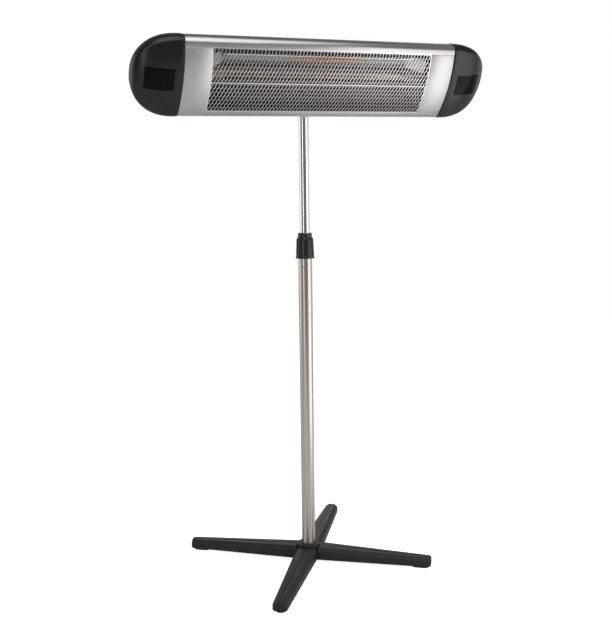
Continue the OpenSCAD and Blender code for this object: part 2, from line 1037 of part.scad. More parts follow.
module cap_badge(side) {
    color("#0f0f10")
        in_head()
            on_side(side)
                intersection() {
                    difference() {
                        dome(cap_proud + badge_t, seam_x);
                        dome(cap_proud + e, seam_x - 1);
                    }
                    translate([badge_x, -face_sag - 5, badge_y - badge_h / 2])
                        cube([badge_len, cap_apex + face_sag, badge_h]);
                }
}

module cap_badge_left() { cap_badge(-1); }
module cap_badge_right() { cap_badge(1); }

module cap_screw_places() {
    for (x = [-1, 1], y = [-1, 1])
        translate([x * cap_screw_x, back_x, y * cap_screw_y])
            rotate([90, 0, 0])
                children();
}

module cap_screws() {
    color(zinc)
        in_head()
            cap_screw_places() {
                translate([0, 0, -2])
                    cylinder(r = 3.4, h = 2);
                translate([0, 0, -1])
                    cylinder(r = cap_screw_r, h = 1 + sheet + spigot_t + 4);
            }
}

// ---------- electrics ----------

module terminal_block() {
    color("#e8e6df")
        in_head()
            difference() {
                translate([bulk_x + bulk_t, 40, -20])
                    cube([22, 20, 40]);
                for (y = [-13.5, 0, 13.5])
                    translate([bulk_x + bulk_t + 11, 0, y]) {
                        translate([0, 30, 0])
                            rotate([-90, 0, 0])
                                cylinder(r = 3, h = 18);
                    }
            }
}

module thermal_cutout() {
    color("#b8a06a")
        in_head()
            translate([0, 40, half_h - 42]) {
                rod_x(8, 6, bulk_x + bulk_t);
                rod_x(5, 5, bulk_x + bulk_t + 6);
            }
}

module tip_over_switch() {
    color("#2a2a2c")
        in_head()
            translate([bulk_x + bulk_t, 22, 36 - half_h]) {
                cube([20, 24, 30]);
                translate([20, 12, 8])
                    rod_x(3, 5);
            }
}

// Two wires: a straight one from the right socket, and one from the left
// socket that slants back and runs along behind the reflector
module heater_leads() {
    start = lamp_x + socket_len;
    turn_x = -start - 8;
    length = bulk_x + 12;
    back = lead_rear - tube_back;
    slant = norm([back, lead_rise]);
    color("#d9d4c6")
        in_tube() {
            rod_x(lead_r, length - start, start);
            rod_x(lead_r, 8, turn_x);
            translate([turn_x, 0, 0])
                rotate([-atan2(back, lead_rise), 0, 0])
                    translate([0, 0, -3])
                        cylinder(r = 1.2 * lead_r, h = slant + 6);
            translate([0, back, lead_rise])
                rod_x(lead_r, length - turn_x, turn_x);
        }
}

module gland_place() {
    translate([gland_x, back_x, gland_y])
        rotate([90, 0, 0])
            children();
}

module cable_gland() {
    color(satin_black)
        in_head()
            gland_place()
                difference() {
                    union() {
                        translate([0, 0, -1])
                            cylinder(r = gland_r, h = 10);
                        translate([0, 0, -6])
                            cylinder(r = 11, h = 6, $fn = 6);
                        translate([0, 0, -14])
                            cylinder(r1 = 7.5, r2 = 9, h = 8);
                    }
                    cylinder(r = gland_bore, h = 60, center = true);
                }
}

module gland_nut() {
    color(satin_black)
        in_head()
            gland_place()
                translate([0, 0, sheet + 0.1])
                    difference() {
                        cylinder(r = 12, h = 4, $fn = 6);
                        cylinder(r = gland_r + e, h = 20, center = true);
                    }
}

module switch_frame() {
    color(satin_black)
        in_head()
            difference() {
                union() {
                    translate([switch_x - switch_w / 2, back_x, -switch_h / 2])
                        cube([switch_w, 2, switch_h]);
                    translate([switch_x - switch_w / 2 + 1.2, back_x - 14, -switch_h / 2 + 1.2])
                        cube([switch_w - 2.4, 14 + e, switch_h - 2.4]);
                }
                translate([0, rocker_x, 0])
                    rod_x(rocker_r + 0.3, rocker_w + 0.6, switch_x - rocker_w / 2 - 0.3);
                translate([switch_x - rocker_w / 2 - 0.3, rocker_x, -rocker_r - 0.3])
                    cube([rocker_w + 0.6, 20, 2 * rocker_r + 0.6]);
            }
}

module switch_rocker() {
    color("#141414")
        in_head()
            intersection() {
                translate([0, rocker_x, 0])
                    rod_x(rocker_r, rocker_w, switch_x - rocker_w / 2);
                along_x(rocker_w, switch_x - rocker_w / 2)
                    polygon([
                        [rocker_x - 6, -7], [rocker_x + 5, -9], [rocker_x + 6.6, 0],
                        [rocker_x + 8.4, 9], [rocker_x - 6, 7]
                    ]);
            }
}

base_beam_lower();
base_beam_upper();
hub_plate();
foot_right();
foot_back();
foot_left();
foot_front();
pole_plug();
base_bolt();
base_washer();
lap_screws();
lower_tube();
collar_socket();
collet_sleeve();
collar_grip();
guide_bush();
upper_tube();
mast_fork();
mast_screws();
pivot_bolt();
pivot_washers();
tilt_knob();
yoke_bracket();
yoke_nut_plate();
yoke_screws();
housing_shell();
face_plate_left();
face_plate_right();
guard_rail_upper();
guard_rail_lower();
guard_mesh();
guard_rod();
reflector();
reflector_end_left();
reflector_end_right();
quartz_tube();
heating_element();
lamp_socket_left();
lamp_socket_right();
lamp_clip_left();
lamp_clip_right();
bulkhead_left();
bulkhead_right();
end_cap_left();
end_cap_right();
cap_gasket_left();
cap_gasket_right();
cap_badge_left();
cap_badge_right();
cap_screws();
terminal_block();
thermal_cutout();
tip_over_switch();
heater_leads();
cable_gland();
gland_nut();
switch_frame();
switch_rocker();
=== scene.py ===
import json
from math import asin, atan2, cos, pi, radians, sin, sqrt

import bmesh
import bpy
from mathutils import Matrix, Vector


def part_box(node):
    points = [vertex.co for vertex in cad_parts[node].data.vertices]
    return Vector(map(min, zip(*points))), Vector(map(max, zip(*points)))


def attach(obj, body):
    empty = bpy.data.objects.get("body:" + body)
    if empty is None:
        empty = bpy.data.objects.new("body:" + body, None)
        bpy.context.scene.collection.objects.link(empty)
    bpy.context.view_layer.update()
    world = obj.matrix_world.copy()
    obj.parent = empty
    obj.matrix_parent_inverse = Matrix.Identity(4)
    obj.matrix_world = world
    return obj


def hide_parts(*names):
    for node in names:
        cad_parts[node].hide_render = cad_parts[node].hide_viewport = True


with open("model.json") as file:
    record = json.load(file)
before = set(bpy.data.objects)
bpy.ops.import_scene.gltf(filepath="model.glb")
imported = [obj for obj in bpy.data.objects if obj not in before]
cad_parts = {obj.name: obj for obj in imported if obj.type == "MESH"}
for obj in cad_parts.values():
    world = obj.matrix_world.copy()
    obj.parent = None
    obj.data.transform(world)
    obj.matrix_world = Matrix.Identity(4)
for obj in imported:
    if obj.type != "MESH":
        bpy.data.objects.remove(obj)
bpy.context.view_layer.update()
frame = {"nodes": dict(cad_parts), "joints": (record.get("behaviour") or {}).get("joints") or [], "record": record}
cadNodes = frame["nodes"]
record = frame["record"]
mm = 0.001
print("frame loaded:", len(cadNodes), "CAD nodes")

# How the head leans at rest, and the bolt it leans about
mounts = {m["name"]: m for m in record["mounts"]}
joints = {j["name"]: j for j in frame["joints"]}
backward = Vector(mounts["cord_entry"]["axis"])
tilt = atan2(backward.z, backward.y)
pivot = Vector(joints["head_tilt"]["pos_m"])
unTilt = Matrix.Rotation(-tilt, 4, "X") @ Matrix.Translation(-pivot)


def boxIn(name, matrix):
    places = [matrix @ v.co for v in cadNodes[name].data.vertices]
    low = Vector([min(p[i] for p in places) for i in range(3)])
    high = Vector([max(p[i] for p in places) for i in range(3)])
    return low, high


# In the head's own frame y is the depth behind the foremost line of the face and z the height along it
shellLow, shellHigh = boxIn("housing_shell", unTilt)
faceFront = boxIn("face_plate_left", unTilt)[0].y
toHead = Matrix.Translation((0, -faceFront, -(shellLow.z + shellHigh.z) / 2)) @ unTilt
fromHead = toHead.inverted()


def headBox(name):
    return boxIn(name, toHead)


def middle(box):
    return (box[0] + box[1]) / 2


def clearSelection():
    if bpy.context.mode != "OBJECT":
        bpy.ops.object.mode_set(mode="OBJECT")
    bpy.ops.object.select_all(action="DESELECT")


def activate(obj):
    clearSelection()
    obj.select_set(True)
    bpy.context.view_layer.objects.active = obj


# Goes into edit mode with only those parts selected that the rule accepts
def pick(obj, kind, rule):
    activate(obj)
    bpy.ops.object.mode_set(mode="EDIT")
    bpy.ops.mesh.select_mode(type=kind)
    mesh = bmesh.from_edit_mesh(obj.data)
    for part in list(mesh.faces) + list(mesh.edges) + list(mesh.verts):
        part.select_set(False)
    parts = {"VERT": mesh.verts, "EDGE": mesh.edges, "FACE": mesh.faces}[kind]
    for part in parts:
        if rule(part):
            part.select_set(True)
    mesh.select_flush_mode()
    bmesh.update_edit_mesh(obj.data)


def leaveEdit():
    bpy.ops.object.mode_set(mode="OBJECT")


def cleanMesh(obj):
    pick(obj, "VERT", lambda v: True)
    bpy.ops.mesh.remove_doubles(threshold=0.002 * mm)
    bpy.ops.mesh.normals_make_consistent(inside=False)
    leaveEdit()


def applyModifier(obj, kind, **settings):
    activate(obj)
    modifier = obj.modifiers.new("work", kind)
    for key, value in settings.items():
        setattr(modifier, key, value)
    bpy.ops.object.modifier_apply(modifier=modifier.name)


def roundEdges(obj, width, segments=3, angle=30):
    applyModifier(obj, "BEVEL", width=width * mm, segments=segments,
                  limit_method="ANGLE", angle_limit=radians(angle), use_clamp_overlap=True)


def cutAway(obj, cutter):
    applyModifier(obj, "BOOLEAN", operation="DIFFERENCE", solver="EXACT", object=cutter)
    bpy.data.objects.remove(cutter)


def copyOf(obj, matrix):
    twin = obj.copy()
    twin.data = obj.data.copy()
    bpy.context.collection.objects.link(twin)
    twin.data.transform(matrix)
    if matrix.determinant() < 0:
        twin.data.flip_normals()
    return twin


def joinAll(objs):
    activate(objs[0])
    for obj in objs:
        obj.select_set(True)
    bpy.ops.object.join()
    return objs[0]


def addBox(low, high):
    clearSelection()
    size = [high[i] - low[i] for i in range(3)]
    place = [(high[i] + low[i]) / 2 * mm for i in range(3)]
    bpy.ops.mesh.primitive_cube_add(size=1, location=place, scale=[s * mm for s in size])
    obj = bpy.context.object
    bpy.ops.object.transform_apply(location=True, rotation=True, scale=True)
    return obj


# A ring of edges through the given points, which are in millimetres
def addLoop(points, filled=False):
    clearSelection()
    fill = "NGON" if filled else "NOTHING"
    bpy.ops.mesh.primitive_circle_add(vertices=len(points), fill_type=fill)
    obj = bpy.context.object
    for vertex, point in zip(obj.data.vertices, points):
        vertex.co = Vector(point) * mm
    return obj


def onAxis(axis, along, u, v):
    return {"X": (along, u, v), "Y": (u, along, v), "Z": (u, v, along)}[axis]


# A flat outline, extruded along one axis
def addSlab(points, axis, start, length):
    obj = addLoop([onAxis(axis, start, u, v) for u, v in points], filled=True)
    pick(obj, "FACE", lambda f: True)
    move = Vector(onAxis(axis, length, 0, 0)) * mm
    bpy.ops.mesh.extrude_region_move(TRANSFORM_OT_translate={"value": move})
    leaveEdit()
    cleanMesh(obj)
    return obj


# A profile of (radius, height) points, spun about the Z axis
def addTurned(profile, steps=64):
    closed = min(r for r, h in profile) > 0
    obj = addLoop([(r, 0, h) for r, h in profile])
    if not closed:
        pick(obj, "EDGE", lambda e: all(abs(v.co.x) < 0.001 * mm for v in e.verts))
        bpy.ops.mesh.delete(type="EDGE_FACE")
        leaveEdit()
    pick(obj, "VERT", lambda v: True)
    bpy.ops.mesh.spin(steps=steps, angle=2 * pi, center=(0, 0, 0), axis=(0, 0, 1))
    leaveEdit()
    cleanMesh(obj)
    return obj


# Puts a part that was turned about Z with its foot at a place in millimetres and its axis along a direction
def stand(place, direction):
    turn = Vector((0, 0, 1)).rotation_difference(Vector(direction)).to_matrix().to_4x4()
    return Matrix.Translation(Vector(place) * mm) @ turn


def arc(cu, cv, ru, rv, start, end, count):
    angles = [radians(start + (end - start) * i / count) for i in range(count + 1)]
    return [(cu + ru * cos(a), cv + rv * sin(a)) for a in angles]


def ringProfile(inner, outer, low, high, edge):
    return [(inner, low), (inner, high), (outer - edge, high), (outer, high - edge),
            (outer, low + edge), (outer - edge, low)]


# What stands at both ends of the head is modelled on the right and mirrored to the left
bothSides = (("left", Matrix.Scale(-1, 4, (1, 0, 0))), ("right", Matrix.Identity(4)))


# Every finished piece gets its place in the mesh, its name, body and material
def finishPiece(obj, name, body, material, stands, place=None, smooth=35):
    if place is not None:
        obj.data.transform(place)
    obj.name = name
    obj.data.name = name
    finishes = material if isinstance(material, list) else [material]
    indices = [face.material_index for face in obj.data.polygons]
    obj.data.materials.clear()      # this sets every face back to the first material
    for finish in finishes:
        obj.data.materials.append(finish)
    for face, index in zip(obj.data.polygons, indices):
        face.material_index = min(index, len(finishes) - 1)
    activate(obj)
    bpy.ops.object.shade_smooth_by_angle(angle=radians(smooth))
    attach(obj, body)
    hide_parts(*stands)


def dressNode(name, material):
    cadNodes[name].data.materials.clear()
    cadNodes[name].data.materials.append(material)


def linear(hexColour):
    parts = [int(hexColour[i:i + 2], 16) / 255 for i in (1, 3, 5)]
    return [p / 12.92 if p <= 0.04045 else ((p + 0.055) / 1.055) ** 2.4 for p in parts] + [1]


def addNode(tree, kind, values=None, links=None, **settings):
    node = tree.nodes.new(kind)
    for key, value in settings.items():
        setattr(node, key, value)
    for key, value in (values or {}).items():
        node.inputs[key].default_value = value
    for key, source in (links or {}).items():
        tree.links.new(source, node.inputs[key])
    return node


def startMaterial(name, hexColour, metallic=0.0, roughness=0.5, **values):
    material = bpy.data.materials.new(name)
    material.use_nodes = True
    tree = material.node_tree
    surface = tree.nodes["Principled BSDF"]
    surface.inputs["Base Color"].default_value = linear(hexColour)
    surface.inputs["Metallic"].default_value = metallic
    surface.inputs["Roughness"].default_value = roughness
    for key, value in values.items():
        surface.inputs[key].default_value = value
    coords = addNode(tree, "ShaderNodeTexCoord")
    return material, tree, surface, coords.outputs["Object"]


# Noise on Object coordinates: size is its real spacing in millimetres, the same all ways or along x, y and z
def grain(tree, coords, size, detail=2.0, rough=0.5):
    sizes = size if isinstance(size, tuple) else (size, size, size)
    scale = [1 / (s * mm) for s in sizes]
    spread = addNode(tree, "ShaderNodeMapping", {"Scale": scale}, {"Vector": coords})
    noise = addNode(tree, "ShaderNodeTexNoise", {"Scale": 1.0, "Detail": detail, "Roughness": rough},
                    {"Vector": spread.outputs["Vector"]})
    return noise.outputs["Fac"]


def colourBetween(tree, surface, factor, first, second, low=0.3, high=0.7):
    ramp = addNode(tree, "ShaderNodeValToRGB", links={"Fac": factor})
    ramp.color_ramp.elements[0].position = low
    ramp.color_ramp.elements[0].color = linear(first)
    ramp.color_ramp.elements[1].position = high
    ramp.color_ramp.elements[1].color = linear(second)
    tree.links.new(ramp.outputs["Color"], surface.inputs["Base Color"])


def roughBetween(tree, surface, factor, low, high):
    spread = addNode(tree, "ShaderNodeMapRange", {"From Min": 0.3, "From Max": 0.7, "To Min": low,
                     "To Max": high}, {"Value": factor})
    tree.links.new(spread.outputs["Result"], surface.inputs["Roughness"])


def bumpFrom(tree, surface, height, depth, strength):
    bump = addNode(tree, "ShaderNodeBump", {"Strength": strength, "Distance": depth * mm}, {"Height": height})
    tree.links.new(bump.outputs["Normal"], surface.inputs["Normal"])


# A finish drawn with one noise: its two colours, its lowest and highest roughness, the depth and strength of
# its bumps, and where its colour changes more slowly, the size of those clouds
def patterned(name, colours, size, rough, bump=None, metallic=0.0, specular=0.5, clouds=None, detail=3,
              mix=0.5):
    material, tree, surface, coords = startMaterial(name, colours[0], metallic, rough[0])
    surface.inputs["Specular IOR Level"].default_value = specular
    pattern = grain(tree, coords, size, detail, mix)
    tones = grain(tree, coords, clouds, detail) if clouds else pattern
    colourBetween(tree, surface, tones, *colours)
    if rough[1] > rough[0]:
        roughBetween(tree, surface, pattern, *rough)
    if bump:
        bumpFrom(tree, surface, pattern, *bump)
    return material


# Zinc-plated steel fasteners: bluish grey, softly mirrored, with a faint spangle
def zincPlate():
    material, tree, surface, coords = startMaterial("zincPlatedSteel", "#a3a6a8", 1.0, 0.33)
    spangle = grain(tree, coords, 4, 2)
    colourBetween(tree, surface, spangle, "#8f9397", "#b3b5b6")
    roughBetween(tree, surface, spangle, 0.26, 0.42)
    bumpFrom(tree, surface, grain(tree, coords, 0.6), 0.02, 0.5)
    return material


# Extruded aluminium, brushed along its length and clear anodised
def brushedAluminium(name, dark, light, low, high, spacing):
    material, tree, surface, coords = startMaterial(name, light, 1.0, high)
    lines = grain(tree, coords, (260, spacing, spacing), 3, 0.6)
    broad = grain(tree, coords, (700, 9, 9), 2)
    both = addNode(tree, "ShaderNodeMath", links={0: lines, 1: broad}, operation="ADD")
    half = addNode(tree, "ShaderNodeMath", {1: 0.5}, {0: both.outputs[0]}, operation="MULTIPLY")
    colourBetween(tree, surface, half.outputs[0], dark, light, 0.35, 0.65)
    roughBetween(tree, surface, half.outputs[0], low, high)
    bumpFrom(tree, surface, lines, 0.035, 0.6)
    return material


# Polished reflector sheet: an orange painted reflection over the upper middle, and painted shade, a dark grey
# brown, over all below a given height
def reflectorSheet(paintedReflectionPlace, paintedReflectionSize, paintedShadeEdgePlace):
    material, tree, surface, coords = startMaterial("polishedReflectorSheet", "#bdbbb6", 0.55, 0.3)
    rolling = grain(tree, coords, (300, 2.5, 2.5), 2)
    bright = addNode(tree, "ShaderNodeValToRGB", links={"Fac": rolling})
    bright.color_ramp.elements[0].color = linear("#d8d6d2")
    bright.color_ramp.elements[1].color = linear("#f4f2ee")
    near = addNode(tree, "ShaderNodeMapping", {"Location": [-p / s for p, s in zip(paintedReflectionPlace, paintedReflectionSize)],
                   "Scale": [1 / s for s in paintedReflectionSize]}, {"Vector": coords})
    ball = addNode(tree, "ShaderNodeTexGradient", links={"Vector": near.outputs["Vector"]},
                   gradient_type="SPHERICAL")
    withPaintedReflection = addNode(tree, "ShaderNodeMix", links={"Factor": ball.outputs["Fac"],
                     6: bright.outputs["Color"]}, data_type="RGBA")
    # Orange painted reflection, strongest at the middle of the ball
    withPaintedReflection.inputs[7].default_value = linear("#ee8f40")
    upward = (0, -sin(tilt), cos(tilt))
    height = addNode(tree, "ShaderNodeVectorMath", {1: upward}, {0: coords}, operation="DOT_PRODUCT")
    seam = paintedShadeEdgePlace.dot(Vector(upward))
    paintedShadeMask = addNode(tree, "ShaderNodeMapRange", {"From Min": seam - 0.003, "From Max": seam + 0.003},
                   {"Value": height.outputs["Value"]})
    withPaintedShade = addNode(tree, "ShaderNodeMix", links={"Factor": paintedShadeMask.outputs["Result"],
                     7: withPaintedReflection.outputs[2]}, data_type="RGBA")
    # Below the edge height the sheet is painted dark grey brown as painted shade
    withPaintedShade.inputs[6].default_value = linear("#403e3b")
    tree.links.new(withPaintedShade.outputs[2], surface.inputs["Base Color"])
    roughBetween(tree, surface, rolling, 0.26, 0.36)
    bumpFrom(tree, surface, rolling, 0.05, 0.5)
    return material


# Fused quartz, clear with a faint drawn streak along the tube
def quartzGlass():
    material, tree, surface, coords = startMaterial("fusedQuartz", "#f4efe9", roughness=0.04, IOR=1.46)
    surface.inputs["Transmission Weight"].default_value = 1.0
    bumpFrom(tree, surface, grain(tree, coords, (400, 3, 3), 2), 0.03, 0.4)
    return material


# Sheet steel under satin black stove enamel, with a soft orange peel
def enamelledSteel(name, hexColour, roughness):
    material, tree, surface, coords = startMaterial(name, hexColour, roughness=roughness)
    peel = grain(tree, coords, 2.2, 1)
    roughBetween(tree, surface, peel, roughness - 0.06, roughness + 0.08)
    colourBetween(tree, surface, grain(tree, coords, 30), hexColour, "#202020")
    bumpFrom(tree, surface, peel, 0.06, 0.5)
    return material


# Glass-fibre sleeving on the leads: chalky, with slanting strands about 2 mm apart
def braidedSleeve():
    material, tree, surface, coords = startMaterial("glassFibreSleeve", "#d6cfbd", roughness=0.8)
    braid = addNode(tree, "ShaderNodeTexWave", {"Scale": 160.0, "Distortion": 1.0}, {"Vector": coords},
                    bands_direction="DIAGONAL")
    colourBetween(tree, surface, braid.outputs["Fac"], "#b9b09a", "#e2dccd")
    bumpFrom(tree, surface, braid.outputs["Fac"], 0.15, 0.6)
    return material


# Cast iron under a black structure powder coat: dull, with an orange-peel grit. The real grit is 0.3 mm and is
# drawn coarser so that it shows
iron = patterned("castIronPowderCoat", ("#1b1a19", "#262423"), 1.3, (0.46, 0.62), (0.25, 0.6), specular=0.25,
                 clouds=45)
# Moulded EPDM rubber: matt and slightly mottled
rubber = patterned("mouldedRubber", ("#171717", "#232323"), 2, (0.72, 0.88), (0.12, 0.5))
zinc = zincPlate()
# Stainless tube, belt-brushed lengthwise: fine lines up the tube, so reflections spread sideways. The real
# lines are about 0.1 mm apart and are drawn at 1 mm
stainless = patterned("brushedStainlessTube", ("#a49d96", "#c8c2bc"), (1.1, 1.1, 420), (0.24, 0.34),
                      (0.02, 0.5), metallic=1.0, detail=2, mix=0.6)
# Bright chrome plate on steel tube: near to a mirror, with faint wiping marks
chrome = patterned("chromePlatedTube", ("#cfcecc", "#dddcda"), (9, 9, 60), (0.11, 0.17), metallic=1.0)
# Injection-moulded ABS, satin black with a spark-eroded grain of some 0.2 mm, drawn coarser, and a little
# shinier where hands hold it
satinAbs = {"size": 0.9, "rough": (0.26, 0.35), "bump": (0.05, 0.35), "clouds": 60, "detail": 2}
blackPlastic = patterned("satinMouldedAbs", ("#0b0b0c", "#111112"), specular=0.35, **satinAbs)
gripPlastic = patterned("handledMouldedAbs", ("#0b0b0c", "#111112"), specular=0.5, **satinAbs)
# Polished black acrylic: hardly any pattern, sharp dark reflections
inlay = patterned("glossAcrylicInlay", ("#050506", "#09090a"), 14, (0.13, 0.2), specular=0.08, detail=2)
band = brushedAluminium("brushedAnodisedExtrusion", "#a09e9b", "#c2c0bd", 0.32, 0.42, 1.1)
plateFinish = brushedAluminium("satinAnodisedPlate", "#b0afae", "#b6b5b4", 0.42, 0.45, 0.8)
# Expanded metal sheet in two copies: the bright sheet, and a darker, rougher copy on every second strand as
# painted shade for strands turned away from the light
guardFinish = patterned("brightExpandedSheet", ("#dedbda", "#f2efee"), 1.5, (0.3, 0.4), (0.03, 0.4),
                        metallic=1.0, detail=2)
guardPaintedShade = patterned("paintedShadeStrandSheet", ("#8c8a88", "#a09e9b"), 1.5, (0.45, 0.55), (0.03, 0.4),
                       metallic=1.0, detail=2)
# The painted orange reflection lies over the lamp's upper middle, and the painted shade begins below the lamp's
# own height
tubeMiddle = middle(headBox("quartz_tube"))
paintedReflectionPlace = fromHead @ (tubeMiddle + Vector((0.02, 0.0, 0.046)))
mirror = reflectorSheet(paintedReflectionPlace, (0.12, 0.09, 0.045), fromHead @ Vector((0, tubeMiddle.y, 0.024)))
quartz = quartzGlass()
# Bright reflective coating on the back half of the tube's bore, slightly uneven
silvering = patterned("reflectiveTubeCoating", ("#8f8b85", "#aaa69f"), (40, 6, 6), (0.1, 0.2), metallic=1.0)
# Resistance wire, oxidised to a scaly grey brown
wire = patterned("oxidisedResistanceWire", ("#5f4334", "#9a6f50"), 6, (0.45, 0.45), metallic=0.8)
# Unglazed steatite, chalky, its colour darkened to a grey brown as painted shade for the dim ends of the head
ceramic = patterned("unglazedSteatite", ("#69635a", "#7f7970"), 1.2, (0.7, 0.7), (0.08, 0.5))
enamel = enamelledSteel("stoveEnamelledSteel", "#161616", 0.4)
# Near-black for the inside of the housing, the guard rails and the bulkheads: painted shade for the unlit inside
# of the head
insideShadeBlack = enamelledSteel("paintedShadeInsideBlack", "#0d0d0d", 0.62)
# Plain engineering materials that are hardly seen, each with its own mottling
nylon = patterned("naturalNylon", ("#cfcdc6", "#dbd9d3"), 8, (0.39, 0.51), (0.04, 0.5))
fibre = patterned("fibreWasher", ("#4b3a2c", "#6b5542"), 1.5, (0.69, 0.81), (0.04, 0.5))
brass = patterned("rolledBrass", ("#a88a4c", "#c0a362"), 5, (0.24, 0.36), (0.04, 0.5), metallic=1.0)
switchPlastic = patterned("switchMoulding", ("#171718", "#1f1f20"), 6, (0.34, 0.46), (0.04, 0.5))
sleeve = braidedSleeve()
print("materials made:", len(bpy.data.materials))


base = {
    "reach": 326, "hubWidth": 58, "tipWidth": 36, "hubHeight": 32, "tipHeight": 22,
    "crownBevel": 7.6,      # width of the bevel along each upper edge
    "tipCut": 6, "grooveWidth": 3, "grooveDepth": 1.2, "grooveStart": 38,
    "edge": 1.3,            # rounding of the cast edges
    "lapGap": 0.2, "boltHole": 12.2, "turn": -36,
}


def addLeg():
    size = base
    near = size["reach"] - size["tipCut"]
    leg = addBox((0, -size["hubWidth"] / 2, 0), (near, size["hubWidth"] / 2, size["hubHeight"]))
    tipScale = (1, size["tipWidth"] / size["hubWidth"], size["tipHeight"] / size["hubHeight"])
    pick(leg, "VERT", lambda v: v.co.x > near / 2 * mm)
    bpy.ops.transform.resize(value=tipScale, center_override=(near * mm, 0, 0))
    leaveEdit()
    pick(leg, "FACE", lambda f: f.normal.x > 0.9)
    bpy.ops.mesh.extrude_region_move(TRANSFORM_OT_translate={"value": (size["tipCut"] * mm, 0, 0)})
    narrow = 1 - 2 * size["tipCut"] / size["tipWidth"]
    bpy.ops.transform.resize(value=(1, narrow, 0.96), center_override=(size["reach"] * mm, 0, 0))
    leaveEdit()

    def longTop(edge):
        ends = [v.co for v in edge.verts]
        along = abs(ends[0].x - ends[1].x) > 3 * mm
        return along and all(p.z > 0.6 * size["tipHeight"] * mm for p in ends)

    pick(leg, "EDGE", longTop)
    bpy.ops.mesh.bevel(offset=size["crownBevel"] * mm, segments=1, affect="EDGES")
    leaveEdit()
    half = size["grooveWidth"] / 2
    for co, normal in (((0, half, 0), (0, 1, 0)), ((0, -half, 0), (0, 1, 0)),
                       ((size["grooveStart"], 0, 0), (1, 0, 0))):
        pick(leg, "FACE", lambda f: True)
        bpy.ops.mesh.bisect(plane_co=Vector(co) * mm, plane_no=normal)
        leaveEdit()

    def inGroove(face):
        place = face.calc_center_median()
        outward = face.normal.z > 0.9 or face.normal.x > 0.9
        return outward and abs(place.y) < half * mm and place.x > size["grooveStart"] * mm

    pick(leg, "FACE", inGroove)
    bpy.ops.mesh.extrude_region_shrink_fatten(
        TRANSFORM_OT_shrink_fatten={"value": -size["grooveDepth"] * mm})
    leaveEdit()
    pick(leg, "FACE", lambda f: f.normal.x < -0.9 and f.calc_center_median().x < mm)
    bpy.ops.mesh.delete(type="FACE")
    leaveEdit()
    return leg


def addBeam(notchLow, notchHigh):
    beam = addLeg()
    applyModifier(beam, "MIRROR", use_axis=(True, False, False), merge_threshold=0.05 * mm)
    cleanMesh(beam)
    half = base["hubWidth"] / 2 + base["lapGap"]
    wide = base["hubWidth"]
    cutAway(beam, addBox((-half, -wide, notchLow), (half, wide, notchHigh)))
    hole = addTurned([(0, -5), (0, 10.4), (base["boltHole"], 10.4), (base["boltHole"], -5)], 48)
    cutAway(beam, hole)
    roundEdges(beam, base["edge"], 3, 25)
    cleanMesh(beam)
    return beam


# The post is the part of a rubber foot that goes up into the leg
foot = {"width": 26, "length": 46, "inset": 5, "post": 5, "edge": 0.5, "tread": 3.5, "treadDepth": 1.0}
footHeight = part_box("foot_right")[1].z / mm - foot["post"]
lapHeight = base["hubHeight"] / 2
above = base["hubHeight"] + 20
lowerBeam = addBeam(lapHeight - base["lapGap"] / 2, above)
upperBeam = addBeam(-20, lapHeight + base["lapGap"] / 2)
for beam, name, turn in ((lowerBeam, "base_beam_lower", 0), (upperBeam, "base_beam_upper", 90)):
    turned = Matrix.Rotation(radians(base["turn"] + turn), 4, "Z")
    place = Matrix.Translation((0, 0, footHeight * mm)) @ turned
    finishPiece(beam, "cast_" + name, "base", iron, [name], place, 30)


def addFoot():
    mid = (foot["length"] - foot["width"]) / 2
    r = foot["width"] / 2
    outline = arc(mid, 0, r, r, -90, 90, 16) + arc(-mid, 0, r, r, 90, 270, 16)
    pad = addSlab(outline, "Z", 0, footHeight)
    pick(pad, "FACE", lambda f: f.normal.z < -0.9)
    bpy.ops.mesh.inset(thickness=foot["tread"] * mm)
    bpy.ops.mesh.extrude_region_move(TRANSFORM_OT_translate={"value": (0, 0, foot["treadDepth"] * mm)})
    bpy.ops.mesh.inset(thickness=foot["tread"] * mm)
    bpy.ops.mesh.extrude_region_move(TRANSFORM_OT_translate={"value": (0, 0, -foot["treadDepth"] * mm)})
    leaveEdit()
    roundEdges(pad, foot["edge"], 2, 40)
    return pad


padModel = addFoot()
footPlace = base["reach"] - foot["inset"] - foot["length"] / 2
for name, turn in (("foot_right", 0), ("foot_back", 90), ("foot_left", 180), ("foot_front", 270)):
    place = Matrix.Rotation(radians(base["turn"] + turn), 4, "Z") @ Matrix.Translation((footPlace * mm, 0, 0))
    finishPiece(copyOf(padModel, place), "rubber_" + name, "base", rubber, [name])
bpy.data.objects.remove(padModel)

hubLow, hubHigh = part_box("hub_plate")
hubRadius = hubHigh.x / mm
hubHeight = (hubHigh.z - hubLow.z) / mm
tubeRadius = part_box("lower_tube")[1].x / mm
hub = {"gap": 0.1, "lead": 0.4, "ring": 4, "ringBevel": 0.8, "drop": 0.9, "edge": 1.6}
hubBore = tubeRadius + hub["gap"]
shoulder = hubHeight - hub["drop"]
hubRing = tubeRadius + hub["ring"]
hubProfile = ([(hubBore, 0), (hubBore, hubHeight - hub["lead"]), (hubBore + hub["lead"], hubHeight),
               (hubRing, hubHeight), (hubRing + hub["ringBevel"], shoulder)]
              + arc(hubRadius - hub["edge"], shoulder - hub["edge"], hub["edge"], hub["edge"], 90, 0, 5)
              + [(hubRadius, 0)])
finishPiece(addTurned(hubProfile, 96), "hub_flange", "base", iron, ["hub_plate"],
            Matrix.Translation((0, 0, hubLow.z)))
print("cross base made")


pole = {"steps": 128, "lowerWall": 1.5, "upperWall": 1.2, "edge": 0.5}


def addPipe(node, wall):
    low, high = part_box(node)
    r = high.x / mm
    profile = ringProfile(r - wall, r, low.z / mm, high.z / mm, pole["edge"])
    return addTurned(profile, pole["steps"])


